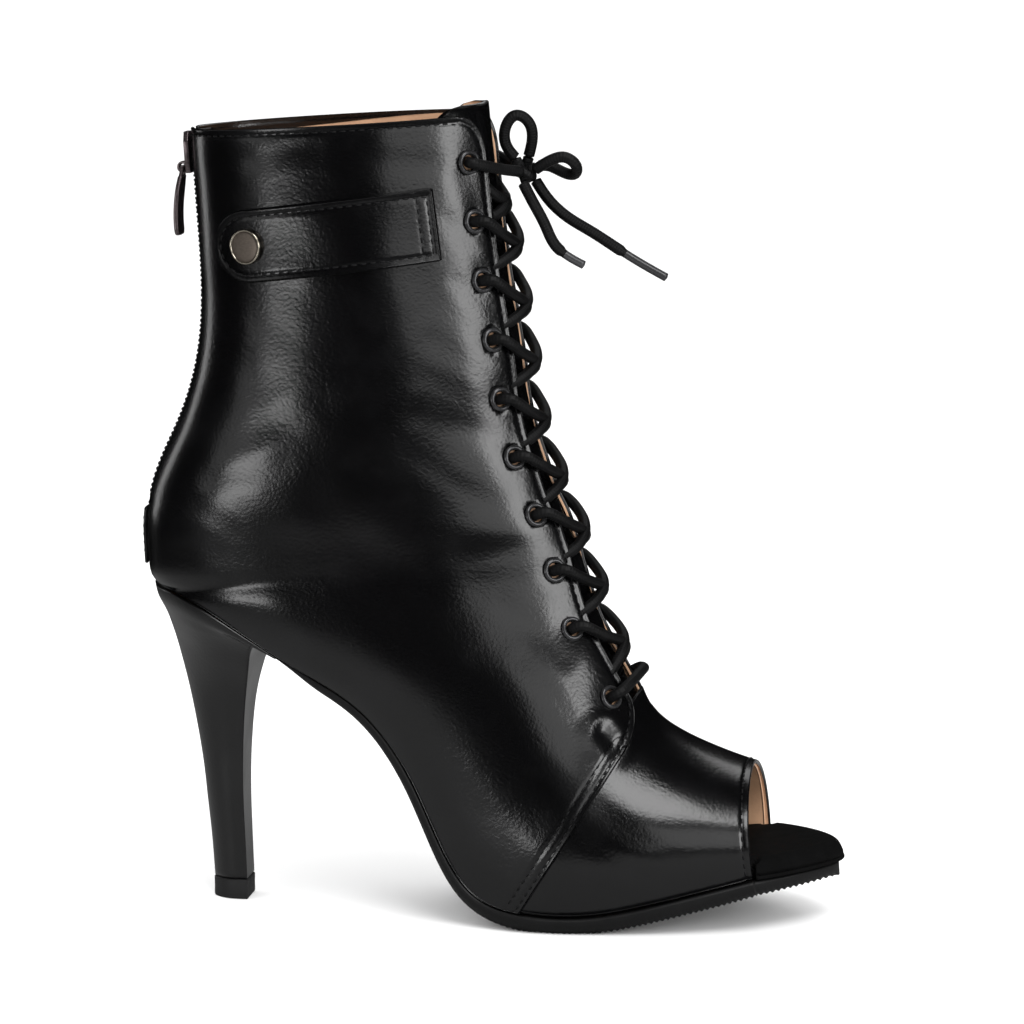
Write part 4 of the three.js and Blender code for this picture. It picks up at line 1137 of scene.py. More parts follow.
@dataclass
class Upper(Assembly):
    """The quarters, the vamp, their lining and their seams."""

    hide: Hide = field(default_factory=Hide)
    stitches: Stitches = field(default_factory=Stitches)
    leather: float = 0.95
    rim: float = 0.45
    seam_step: float = 1.0
    vamp_rise: float = 9.0
    edge_row: float = 1.9
    seam_rows: tuple[float, float] = (1.3, 4.2)
    bore: tuple[float, float, float] = (2.3, 2.2, 3.1)
    dimple: tuple[float, float] = (0.3, 5.6)
    vamp_sinks: float = 0.15
    thread_sinks: float = 0.08

    def quarter_places(self, side: Side, rows: int, cols: int) -> tuple[Array, Array]:
        """Spreads places and angles over a quarter, from its facing edge to the back seam.

        Args:
            side: Which quarter.
            rows: Rows from the collar down to the side seam.
            cols: Columns from the facing to the back.

        Returns:
            The places and the angles.
        """
        last = self.last
        place = spread(0, last.seam - 0.02, rows, 0.75)[:, None]
        edge = last.front_angle(place, last.facing_edge(place))
        slit = np.pi - last.back_angle(place, last.zip_gap / 2)
        shut = 1 - smooth(place, last.zip_foot - 2, last.zip_foot + 1)
        angle = mix(edge, last.feather(place) - slit * shut, np.linspace(0, 1, cols)[None])
        return np.broadcast_to(place, angle.shape), angle * side.value

    def quarter(self, side: Side) -> None:
        """Builds one quarter: its surface, the stitched grooves and the eyelets' dimples."""
        last = self.last
        place, angle = self.quarter_places(side, 230, 130)
        base = last.point(place, angle)
        edges = np.concatenate([base[:, 0], base[0]])
        gap, seam_gap = nearest(base, edges), nearest(base, base[-1])
        out = self.hide.relief(base) * smooth(np.minimum(gap, seam_gap), 0, 6)
        out += stitched(gap, self.edge_row) + stitched(seam_gap, *self.seam_rows)
        slit = nearest(base, base[: np.searchsorted(place[:, 0], last.zip_foot), -1])
        out += stitched(slit, self.edge_row)
        spots, turns = last.eyelets()
        for spot in last.point(spots, turns * side.value):
            reach = np.linalg.norm(base - spot, axis=-1)
            out -= self.dimple[0] * bell(reach, self.dimple[1])
            out -= self.bore[0] * (1 - smooth(reach, *self.bore[1:]))
        inside = np.minimum(out, 0) * 0.3 - self.leather
        surface = sheet(last.skin(place, angle, out), last.skin(place, angle, inside), self.rim)
        name = f"quarter_{side.name.lower()}"
        self.shop.piece(name, surface, [self.finishes.leather] * 2, "leather", ["upper"])

    def vamp_places(self, start: float, end: float, rows: int, cols: int) -> tuple[Array, Array]:
        """Spreads places and angles over the vamp, its rear edge lower at the sides."""
        last = self.last
        share = spread(0, 1, rows, 0.6)[:, None]
        turn = np.linspace(-1, 1, cols)[None]
        side = smooth(np.abs(turn), 0.32, 0.5)
        place = mix(mix(start, last.seam - 2.5, side), end, share)
        return place, turn * last.feather(place)

    def vamp(self) -> None:
        """Builds the vamp: its surface, and the groove along the toe opening."""
        last = self.last
        place, angle = self.vamp_places(last.seam - self.vamp_rise, last.opening, 120, 240)
        base = last.point(place, angle)
        gap = nearest(base, base[-1])
        under = 1 - smooth(place, last.seam - 1, last.seam + 0.5)
        out = self.hide.relief(base) * smooth(gap, 0, 6) * (1 - under)
        out += stitched(gap, self.edge_row) - self.seam_step - self.vamp_sinks * under
        inside = -self.seam_step - self.leather - self.vamp_sinks
        surface = sheet(last.skin(place, angle, out), last.skin(place, angle, inside), self.rim)
        finishes = [self.finishes.leather, self.finishes.lining]
        self.shop.piece("vamp", surface, finishes, "leather", ["upper"])

    def linings(self) -> None:
        """Builds the linings, a little short of the leather's edges."""
        last, linings = self.last, {}
        for side in Side:
            place, angle = self.quarter_places(side, 90, 60)
            band = mix(1.0, 3.8, smooth(np.linspace(0, 1, place.shape[1])[None], 0.1, 0.7))
            levels = (-self.leather - 0.1, -last.wall + 0.05)
            linings[f"lining_{side.name.lower()}"] = (np.maximum(place, band), angle, levels)
        place, angle = self.vamp_places(last.seam - 3, last.opening - 0.9, 50, 90)
        linings["lining_vamp"] = (place, angle, (-self.seam_step - self.leather - 0.2, -2.75))
        for name, (place, angle, levels) in linings.items():
            pair = [last.skin(place, angle, out) for out in levels]
            self.shop.piece(name, sheet(*pair, 0.2), [self.finishes.lining] * 2, "leather", ["upper"])

    def inset(self, place: Array, angle: Array, distance: float, out: float) -> tuple[Array, Array]:
        """Moves a line on the surface sideways by a distance, and reads its points and normals.

        The way across is normal x tangent, and the change of place and angle that gives it is
        solved from the surface's two slopes by least squares.

        Args:
            place: The line's places.
            angle: The line's angles.
            distance: How far to move it, to the left as seen along it.
            out: How far outside the surface it lies.

        Returns:
            The new line and its normals.
        """
        last = self.last
        line = last.point(place, angle)
        normal = last.frame(place, angle)[2]
        across = unit(np.cross(normal, unit(np.gradient(line, axis=0)))) * distance
        down, turn = last.slopes(place, angle)
        pair = np.stack([down, turn / last.turn_step], -1)
        flipped = np.swapaxes(pair, 1, 2)
        change = np.linalg.solve(flipped @ pair, flipped @ across[..., None])[..., 0]
        place, angle = place + change[:, 0], angle + change[:, 1]
        return last.skin(place, angle, np.full(place.shape, out)), last.frame(place, angle)[2]

    def seams(self) -> None:
        """Sews the facings and collar, the side seams, the zip's edges and the toe opening."""
        last, rows = self.last, []
        for side in Side:
            place, angle = self.quarter_places(side, 400, 200)
            sign = side.value
            front = (place[::-1, 0][1:-8], angle[::-1, 0][1:-8])
            collar = (place[0, 6:-3], angle[0, 6:-3])
            edge = [np.concatenate(pair) for pair in zip(front, collar)]
            foot = np.searchsorted(place[:, 0], last.zip_foot)
            lines = [(*edge, -sign * self.edge_row)]
            lines += [(place[4:foot, -1], angle[4:foot, -1], -sign * self.edge_row)]
            lines += [(place[-1, 3:-2], angle[-1, 3:-2], sign * row) for row in self.seam_rows]
            for *line, distance in lines:
                rows.append(self.stitches.along(*self.inset(*line, distance, -self.thread_sinks)))
        place, angle = self.vamp_places(last.seam, last.opening, 40, 300)
        toe = self.inset(place[-1, 3:-3], angle[-1, 3:-3], self.edge_row, -self.seam_step - self.thread_sinks)
        rows.append(self.stitches.along(*toe))
        self.shop.piece("seam_stitches", joined(rows), [self.finishes.thread], "leather")

    def tacks(self) -> None:
        """Sews a short bar across the foot of each facing."""
        last, rows = self.last, []
        spots, turns = last.eyelets()
        bar = Stitches(pitch=1.7, length=1.5, thread=0.34, dip=0.25)
        place = np.linspace(spots[-1] + 8.0, last.seam - 3.5, 12)
        for side in Side:
            angle = (turns[-1] + np.linspace(-0.02, -0.1, len(place))) * side.value
            rows.append(bar.along(last.skin(place, angle, -0.5), last.frame(place, angle)[2]))
        self.shop.piece("throat_tacks", joined(rows), [self.finishes.thread], "leather")

    def build(self) -> None:
        """Builds every piece of the upper."""
        for side in Side:
            self.quarter(side)
        self.vamp()
        self.linings()
        self.seams()
        self.tacks()


@dataclass
class Tongue(Assembly):
    """The tongue behind the facings."""

    width: float = 46.0
    taper: float = 0.78
    hollow: float = 1.2
    above: float = 2.6
    below: float = 6.5
    depth: float = 3.4
    thickness: float = 1.6
    corner: tuple[float, float] = (7, 9)
    fold: tuple[float, float] = (0.22, 4.7)

    def build(self) -> None:
        """Builds the tongue as a panel that is hollow in its middle, with soft cross folds."""
        last = self.last
        place = spread(-self.above, last.seam + self.below, 200, 0.4)[:, None]
        share = spread(-1, 1, 60, 0.5)[None]
        half = self.width / 2 * mix(1, self.taper, smooth(place, 0, last.seam))
        row = last.columns(place)
        half = np.minimum(half, row[..., 4] - self.depth - 2 * self.thickness)
        half = half - self.corner[0] * rounding(1 - (place + self.above) / self.corner[1])
        hollow = (1 - share**2) * mix(self.hollow, last.fit, smooth(place, last.seam - 20, last.seam))
        angle = last.front_angle(place, share * half)
        place = np.broadcast_to(place, angle.shape)
        height, length = self.fold
        fold = height * np.sin(place / length + 2 * np.sin(share * 2.1)) * smooth(place, 8, 30)
        outer = last.skin(place, angle, -self.depth - hollow + fold)
        inner = last.skin(place, angle, -self.depth - hollow - self.thickness)
        surface = sheet(outer, inner, self.thickness / 2)
        finishes = [self.finishes.leather, self.finishes.lining]
        self.shop.piece("tongue_leather", surface, finishes, "leather", ["tongue"])


@dataclass
class Eyelets(Assembly):
    """Two rows of enamelled eyelets."""

    bore: float = 4.6
    metal: float = 0.4
    lip: float = 1.1
    dome: float = 0.8

    def build(self) -> None:
        """Turns a rolled flange and its barrel at each eyelet."""
        last = self.last
        inner, barrel = self.bore / 2, self.bore / 2 + self.metal
        middle, half = (inner + barrel + self.lip) / 2, (self.metal + self.lip) / 2
        roll = np.linspace(0, np.pi, 9)
        flange = np.stack([middle + half * np.cos(roll), 0.1 + self.dome * np.sin(roll)], 1)
        foot = -self.last.wall
        wall = np.array([[inner, -0.4], [inner, foot], [barrel, foot], [barrel, -0.1],
                         [barrel + self.lip, 0.0]])
        profile = np.concatenate([flange, wall, flange[:1]])
        spots, turns = last.eyelets()
        place = np.concatenate([spots, spots])
        angle = np.concatenate([turns, -turns])
        surface = revolve(profile, 40, last.frame(place, angle), last.point(place, angle))
        nodes = [f"eyelet_{word}_{i + 1}" for word in ("lateral", "medial") for i in range(last.eyelet_pairs)]
        self.shop.piece("eyelet_rings", surface, [self.finishes.enamel], "eyelet", nodes)


@dataclass
class Lacing(Assembly):
    """The lace from the knot down through the eyelets, and its free loops and ends."""

    lace: float = 3.6
    knot: float = 9.2
    knot_below: float = 4.0
    over_edge: float = 2.5
    over_eyelet: float = 2.9
    under_eyelet: float = -2.4
    behind: float = -2.3
    near: float = 9.2
    far: float = 14.5
    slimmer: float = 0.05
    turn_radius: float = 2.9
    loop_up: tuple = ((-2.7, -0.5, 4.1), (-5.4, -1.4, 8.2), (-5.2, -2.4, 13.8), (-2, -2.6, 17.2),
                      (1.8, -1.9, 15), (2.7, -0.5, 9.8), (1.5, 0.5, 4.7))
    loop_side: tuple = ((4.2, -2.5, 0.7), (8.6, -4.2, 3.4), (13.2, -4.4, 4.6), (16.6, -2.8, 2),
                        (15.6, 0.6, -1), (11.4, 3, -0.4), (7.4, 3.7, 1.2), (4.3, 3, 1.3))
    end_short: tuple = ((0.5, -3.6, -3.9), (3.8, -5.8, -9.4), (7.6, -7, -16), (10.8, -8, -22),
                        (15.6, -9, -25.8), (20, -9.8, -28))
    end_long: tuple = ((3.7, 0.5, -3.2), (8, -0.6, -9), (14.2, -2, -14.2), (22, -3.2, -18.6),
                       (33.6, -5, -25.6), (45.2, -6.8, -31.8))

    def __post_init__(self) -> None:
        """Finds the knot's centre."""
        self.spots, self.turns = self.last.eyelets()
        self.centre = self.over_gap(self.spots[0] + self.knot_below, 0.0, self.knot / 2 - self.last.fit)

    def over_gap(self, place: float, y: float, out: float) -> Array:
        """Returns a point over the throat at a width y."""
        return self.last.skin(place, self.last.front_angle(place, y), out)

    def below(self, i: int, share: float) -> float:
        """Returns the place a share of the pitch below eyelet i."""
        return float(self.last.place_down(self.last.first_eyelet + (i + share) * self.last.pitch))

    def threaded(self, side: Side) -> Array:
        """Returns the way of one half of the lace, from the knot to the middle of the lowest bar.

        It goes down into the first eyelet, crosses behind, and then comes out of each eyelet,
        crosses over the gap and dives under the other facing, changing sides each time.
        """
        last, sign = self.last, side.value
        edge = last.facing_gap / 2

        def hole(i: int, turn: float, out: float) -> Array:
            """Returns a point at an eyelet, with its angle times turn."""
            return last.skin(self.spots[i], self.turns[i] * turn, out)

        route = [
            self.centre + np.array([-0.6, sign * (self.knot / 2 - 0.6), 0]),
            self.over_gap(self.spots[0] + self.knot_below / 2, sign * edge, self.over_edge + 0.4),
            hole(0, sign * 1.04, self.over_eyelet),
            hole(0, sign, 0.2),
            hole(0, sign * 0.98, self.under_eyelet),
            self.over_gap(self.below(0, 0.56), sign * self.near, self.behind),
            self.over_gap(self.below(0, 0.7), 0.0, self.behind - 0.2),
            self.over_gap(self.below(0, 0.92), -sign * self.near, self.behind),
        ]
        for i in range(1, last.eyelet_pairs):
            sign = -sign
            lowest = i == last.eyelet_pairs - 1
            route += [
                hole(i, sign * 1.02, self.under_eyelet),
                hole(i, sign, 0.0),
                hole(i, sign * (0.95 if lowest else 0.93), self.over_eyelet),
            ]
            if not lowest:
                route += [
                    self.over_gap(self.below(i, 0.2), sign * edge, self.over_edge),
                    self.over_gap(self.below(i, 0.46), 0.0, self.over_edge - 3 + sign * 0.3),
                    self.over_gap(self.below(i, 0.68), -sign * self.near, -0.6),
                    self.over_gap(self.below(i, 0.85), -sign * self.far, self.behind),
                ]
        route += [
            self.over_gap(self.spots[-1] + 0.6, sign * edge, self.over_edge),
            self.over_gap(self.spots[-1] + 1, 0.0, self.over_edge - 1),
        ]
        return np.array(route)

    def held_lace(self) -> None:
        """Builds the lace that the boot holds, in two halves that meet in the lowest bar."""
        names = [f"lace_cross_{i + 1}" for i in range(self.last.eyelet_pairs - 1)]
        names += ["lace_bar", "lace_top_lateral", "lace_top_medial"]
        across = unit(np.array([-0.35, 0.0, 0.94]))
        radius = self.lace / 2 - self.slimmer
        halves = [tube(resample(self.threaded(side), 0.55), radius, across) for side in Side]
        self.shop.piece("laced_cord", joined(halves), [self.finishes.cord], "lace", names)

    def tied_knot(self) -> None:
        """Builds the knot: a turn of lace round the others, over a crossed core."""
        t = np.linspace(0, 2 * np.pi, 60)[:, None]
        lean = unit(np.array([0.45, 0.0, 0.9]))
        side = np.array([0.0, 1.0, 0.0])
        wide = unit(np.cross(lean, side))
        wrap = self.centre + self.turn_radius * (np.cos(t) * side + np.sin(t) * wide) + 0.5 * np.sin(t) * lean
        core = [
            [(-2.4, -0.6, 3.4), (-0.6, -0.8, 0.4), (1.0, -2.4, -3.0)],
            [(1.4, 0.4, 3.9), (0.8, 1.0, 0.0), (2.8, 0.6, -2.6)],
            [(3.4, -2.2, 0.9), (0.4, -0.6, 0.3), (-0.8, 2.6, -0.6)],
            [(3.6, 2.6, 0.9), (0.2, 1.2, -0.6), (-0.8, -2.8, -0.4)],
        ]
        radius = self.lace / 2 - 2 * self.slimmer
        parts = [tube(wrap[:-1], radius, lean)]
        for way in core:
            parts.append(tube(resample(self.centre + np.array(way), 0.5), radius, (0.3, 0.9, 0.2), 12))
        self.shop.piece("bow_knot", joined(parts), [self.finishes.cord], "lace", ["lace_knot"])

    def free_cord(self, name: str, node: str, way: tuple, across: tuple, far_end: str, aglet: float,
                  tip: bpy.types.Material | None) -> None:
        """Args:
            name: The object's name.
            node: The frame's node that it stands for.
            way: Its route from the knot's centre, in millimetres.
            across: A direction that its route never follows.
            far_end: What its far end is; not used.
            aglet: The length of the hard tip, in millimetres.
            tip: The tip's finish.
        """
        sides = 16
        path = resample(self.centre + np.array(way, float), 0.5)
        run = run_along(path)
        radius = np.full(len(path), self.lace / 2 - self.slimmer)
        if aglet:
            radius -= 0.42 * smooth(run, run[-1] - aglet - 1.2, run[-1] - aglet + 0.4)
        surface = tube(path, radius, across, sides)
        if aglet:
            share = (np.arange(len(surface.faces)) // sides) / (len(surface.faces) // sides)
            surface.part = (share * run[-1] > run[-1] - aglet).astype(int)
        finishes = [self.finishes.cord] + ([tip] if tip else [])
        obj = self.shop.piece(name, surface, finishes, "lace", [node])
        spots = self.last.settle(path)

    def cords(self) -> None:
        """Builds the two loops and the two ends."""
        grey, black = self.finishes.aglet_grey, self.finishes.aglet_black
        self.free_cord("bow_loop_up", "lace_loop_up", self.loop_up, (0.1, 1.0, 0.15), "object", 0, None)
        self.free_cord("bow_loop_side", "lace_loop_side", self.loop_side, (0.15, 0.2, 1.0), "object", 0, None)
        self.free_cord("bow_end_short", "lace_end_short", self.end_short, (0.2, 1.0, 0.1), "bare", 7.5, grey)
        self.free_cord("bow_end_long", "lace_end_long", self.end_long, (0.1, 1.0, 0.1), "bare", 15.5, black)

    def build(self) -> None:
        """Builds the lace that the boot holds and its knot."""
        self.held_lace()
        self.tied_knot()


@dataclass
class SideStrap(Assembly):
    """The strap on the outer side, sewn down in front and snapped behind."""

    rear: tuple[float, float] = (0.128, 0.718)
    front: tuple[float, float] = (0.434, 0.776)
    width: float = 21.6
    thickness: float = 1.6
    snap_along: float = 0.176
    snap: float = 10.8
    snap_height: float = 1.2
    edge_row: float = 1.8
    second_row: float = 4.6
    pillow: tuple[float, float] = (0.35, 8.0)
    ripple: float = 0.1

    def __post_init__(self) -> None:
        """Finds the strap's line in the side view."""
        last = self.last
        ends = np.array([self.rear, self.front])
        ends = np.stack([ends[:, 0] * last.length, last.heel_height + ends[:, 1] * last.shaft_height], 1)
        self.start, self.way = ends[0], unit(ends[1] - ends[0])
        self.length = float(np.linalg.norm(ends[1] - ends[0]))
        self.snap_at = self.snap_along * last.length - self.start[0]

    def on_skin(self, along: Array, across: Array, out: Array | float) -> tuple[Array, Array]:
        """Returns points and normals of the leather at distances along and across the strap."""
        x = self.start[0] + along * self.way[0] - across * self.way[1]
        z = self.start[1] + along * self.way[1] + across * self.way[0]
        place, angle = self.last.outer_side(x, z)
        return self.last.skin(place, angle, out), self.last.frame(place, angle)[2]

    def half(self, along: Array) -> Array:
        """Returns half the strap's width: a half circle behind, then straight."""
        end = self.width / 2
        return end * (1 - rounding(1 - along / end)) + 0.02

    def strap(self) -> None:
        """Builds the strap as a panel with a sewn groove and a soft pillow behind the snap."""
        along = np.concatenate([self.width / 2 * (1 - np.cos(np.linspace(0, np.pi / 2, 30))),
                                np.linspace(self.width / 2, self.length, 110)[1:]])[:, None]
        share = spread(-1, 1, 44, 0.6)[None]
        across = share * self.half(along)
        along = np.broadcast_to(along, across.shape)
        base = self.on_skin(along, across, 0.0)[0]
        gap = nearest(base, np.concatenate([base[:, 0], base[:, -1], base[0], base[-1]]))
        rows = stitched(gap, self.edge_row) - 0.18 * bell(self.length - along - self.second_row, GROOVE_WIDTH)
        depth, width = self.pillow
        dent = self.ripple * np.sin(along / 5.3 + across / 7.0)
        dent = dent - depth * bell(np.hypot(along - self.snap_at, across), width)
        outer = self.on_skin(along, across, self.thickness + 0.1 + rows + dent * smooth(gap, 0, 4))[0]
        inner = self.on_skin(along, across, 0.12)[0]
        surface = sheet(outer, inner, 0.5)
        self.shop.piece("strap_leather", surface, [self.finishes.leather] * 2, "leather", ["strap"])

    def stitching(self) -> None:
        """Sews round the strap, and a second row across its front end."""
        turn = np.linspace(-np.pi / 2, np.pi / 2, 60)
        end = self.width / 2
        inner = end - self.edge_row
        side = np.linspace(end, self.length - self.edge_row, 90)
        cross = np.linspace(inner, -inner, 40)
        front = np.full(len(cross), self.length)
        along = np.concatenate([side[::-1], end - inner * np.cos(turn), side, front - self.edge_row])
        across = np.concatenate([0 * side - inner, inner * np.sin(turn), 0 * side + inner, cross])
        rows = []
        for x, y in ((along, across), (front - self.second_row, cross)):
            line, normal = self.on_skin(x, y, self.thickness - 0.02)
            rows.append(Stitches().along(line, normal))
        self.shop.piece("strap_stitches", joined(rows), [self.finishes.thread], "leather")

    def cap(self) -> None:
        """Turns the snap: a slightly domed face in a bright raised rim."""
        last, sides = self.last, 64
        x, z = self.start + self.snap_at * self.way
        place, angle = last.outer_side(np.array([x]), np.array([z]))
        radius, high = self.snap / 2, self.snap_height
        roll = np.linspace(0, np.pi, 9)
        rim = np.stack([radius - 0.35 + 0.35 * np.cos(roll), high - 0.35 + 0.4 * np.sin(roll)], 1)
        face = np.array([[radius - 0.75, high - 0.3], [radius * 0.75, high - 0.16],
                         [radius * 0.5, high - 0.08], [radius * 0.25, high - 0.03], [0, high]])
        profile = np.concatenate([[[0, -0.1], [radius, -0.1], [radius, 0.2]], rim, face])
        centre = last.skin(place, angle, self.thickness + 0.35)
        surface = revolve(profile, sides, last.frame(place, angle), centre)
        surface.part = (np.arange(len(surface.faces)) // sides < len(rim) + 1).astype(int)
        finishes = [self.finishes.bronze, self.finishes.brass]
        self.shop.piece("snap_button", surface, finishes, "snap", ["snap_cap"])

    def build(self) -> None:
        """Builds the strap, its stitches and its snap."""
        self.strap()
        self.stitching()
        self.cap()


@dataclass
class BackZip(Assembly):
    """The zip up the back: tape, teeth, slider, pull tab and the patch below it."""

    tape: float = 14.0
    tape_under: float = 0.9
    ridge: tuple[float, float] = (2.9, 2.2)
    ridge_under: float = 0.35
    pitch: float = 1.55
    wire: float = 0.42
    coil_middle: float = 1.25
    coil: tuple[float, float] = (1.35, 0.42)
    tab_length: float = 21.0
    tab_width: float = 9.0
    tab_thickness: float = 1.3
    tab_neck: float = 0.62
    tab_foot: float = 0.55
    flare: float = 2.8
    slider_length: float = 13.0
    slider_bevel: float = 0.00022
    slider_sharp: float = 28.0
    patch_width: float = 14.0
    patch_thickness: float = 1.1

    def on_back(self, place: Array, y: Array, out: Array | float) -> Array:
        """Returns points over the back of the shaft, y from its middle line."""
        return self.last.skin(place, self.last.back_angle(place, y), out)

    def chain_cloth(self) -> None:
        """Builds the tape behind the quarters, with the cloth ridge that carries the teeth."""
        last = self.last
        place = np.linspace(1.0, last.zip_foot - 2, 140)[:, None]
        y = np.linspace(-self.tape / 2, self.tape / 2, 57)[None]
        ridge = smooth(-np.abs(y), -self.ridge[0], -self.ridge[1])
        out = mix(-last.wall - self.tape_under, -self.ridge_under, ridge) - 0.12 * bell(y, 0.3)
        outer = self.on_back(place, -y, out)
        inner = self.on_back(place, -y, -last.wall - 1.7)
        surface = sheet(outer, inner, 0.3)
        self.shop.piece("zip_cloth", surface, [self.finishes.tape] * 2, "zip", ["zip_chain"])

    def teeth(self) -> None:
        """Builds the coil: two rows of bent loops that lock in turn along the middle.

        Each tooth is a short tube on an arc, (b sin t) across and (h cos t) out, copied along the
        zip by whole-array offsets, the two sides half a pitch apart.
        """
        last = self.last
        run = np.arange(2.0, last.zip_foot - 4, self.pitch)
        t = np.linspace(-0.35, np.pi * 0.93, 7)[:, None]
        turn = np.linspace(0, 2 * np.pi, 7)[None]
        wide, high = self.coil
        thick = self.wire * np.sqrt(np.maximum(0, 1 - np.linspace(-1, 1, 7)[:, None] ** 6))
        out = 0.05 + high * np.sin(t) + thick * np.cos(turn) * 0.8
        shift = thick * np.sin(turn) * 1.15
        copies = []
        for sign in (-1, 1):
            place = (run + (0.25 + 0.25 * sign) * self.pitch)[:, None, None]
            across = sign * (self.coil_middle - wide * np.cos(t)) + thick * np.cos(turn) * 0.4
            copies.append(beads(self.on_back(place + shift, -across, out)))
        self.shop.piece("zip_coil", joined(copies), [self.finishes.coil], "zip")

    def slider(self) -> None:
        """Rounds the slider's corners: a copy of the frame's piece, merged and bevelled."""
        mesh = bpy.data.objects["zip_slider"].data.copy()
        obj = placed("slider_body", mesh)
        shape = bmesh.new()
        shape.from_mesh(mesh)
        bmesh.ops.remove_doubles(shape, verts=shape.verts, dist=1e-5)
        bmesh.ops.dissolve_limit(shape, angle_limit=math.radians(2), verts=shape.verts, edges=shape.edges)
        shape.to_mesh(mesh)
        shape.free()
        mesh.materials.clear()
        mesh.materials.append(self.finishes.gunmetal)
        mesh.shade_smooth()
        bevel = obj.modifiers.new("rounded_edges", "BEVEL")
        bevel.width, bevel.segments = self.slider_bevel, 3
        bevel.angle_limit = math.radians(self.slider_sharp)
        bevel.harden_normals = True
        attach(obj, Body.BOOT.value)
        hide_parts("zip_slider")
        LOG.info("slider_body: %d faces", len(mesh.polygons))

    def tab(self) -> None:
        """Builds the pull tab: a bowed plate that narrows to an eye on its cross bar.

        The plate's half width is a smooth step down its length with a rounded foot, and its bow is
        flare sin(pi/2 d / reach). The eye is left open between two side strips and the bar.
        """
        last = self.last
        bar = np.array(frame["joints"][0]["pos_m"]) / MM - last.shift
        place = np.array([2.0 + self.slider_length / 2])
        side, up, out = (axis[0] for axis in last.frame(place, np.array([np.pi])))

        def half(down: Array) -> Array:
            """Returns the plate's half width."""
            foot = 1 - rounding((down - self.tab_length + 2.2) / 2.25)
            neck = mix(self.tab_neck, 1, smooth(down, 0, 8))
            return self.tab_width / 2 * neck * mix(self.tab_foot, 1, foot)

        def plate(down: Array, across: Array, thick: Array | float) -> Surface:
            """Closes the plate's two faces over a grid of down and across."""
            bow = self.flare * np.sin(np.pi / 2 * np.maximum(0, down / (self.tab_length - 3)))
            centre = bar + across[..., None] * side - down[..., None] * up
            faces = [centre + (bow + s * thick / 2)[..., None] * out for s in (1, -1)]
            return sheet(*faces, 0.28)

        eye, top, end = 1.62, 0.45, 2.8
        down = spread(end, self.tab_length, 60, 0.4)[:, None]
        across = spread(-1, 1, 24, 0.5)[None] * half(down)
        parts = [plate(down + 0 * across, across, self.tab_thickness)]
        strip = spread(-top, end + 0.3, 16)[:, None]
        for sign in (-1, 1):
            across = sign * mix(eye, half(strip) - 0.1, np.linspace(0, 1, 6)[None])
            parts.append(plate(strip + 0 * across, across, 0.9))
        rod = bar + (np.linspace(-1, 1, 12) * (eye + 0.5))[:, None] * side
        parts.append(tube(rod, top, out, 12))
        metal = [self.finishes.gunmetal] * 2
        self.shop.piece("pull_tab", joined(parts), metal, "slider", ["zip_tab"], Body.TAB)

    def patch(self) -> None:
        """Builds the leather patch over the foot of the zip, and sews it on."""
        last, edge_row = self.last, 1.6
        place = spread(last.zip_foot + 1, last.seat - 5, 60, 0.5)[:, None]
        y = spread(-1, 1, 40, 0.5)[None] * self.patch_width / 2
        y = y * mix(1, 0.86, smooth(place, last.seat - 16, last.seat - 5))
        place = np.broadcast_to(place, y.shape)
        base = self.on_back(place, -y, 0.0)
        gap = nearest(base, np.concatenate([base[0], base[-1], base[:, 0], base[:, -1]]))
        outer = self.on_back(place, -y, self.patch_thickness + stitched(gap, edge_row))
        inner = self.on_back(place, -y, 0.05)
        top, foot, reach = place[0, 0] + edge_row, place[-1, 0] - edge_row, self.patch_width / 2 - 1.9
        route = np.array([(top, -reach), (top, reach), (foot, reach), (foot, -reach), (top, -reach)])
        way = np.concatenate([np.linspace(a, b, 40) for a, b in zip(route[:-1], route[1:])])
        line = self.on_back(way[:, 0], -way[:, 1], self.patch_thickness - 0.08)
        normal = last.frame(way[:, 0], last.back_angle(way[:, 0], -way[:, 1]))[2]
        thread = Stitches(pitch=2.6, length=1.9).along(line, normal)
        self.shop.piece("heel_patch_stitches", thread, [self.finishes.thread], "leather")
        surface = sheet(outer, inner, 0.4)
        self.shop.piece("heel_patch", surface, [self.finishes.leather] * 2, "leather", ["heel_tab"])

    def build(self) -> None:
        """Builds every piece of the zip."""
        self.chain_cloth()
        self.teeth()
        self.slider()
        self.tab()
        self.patch()


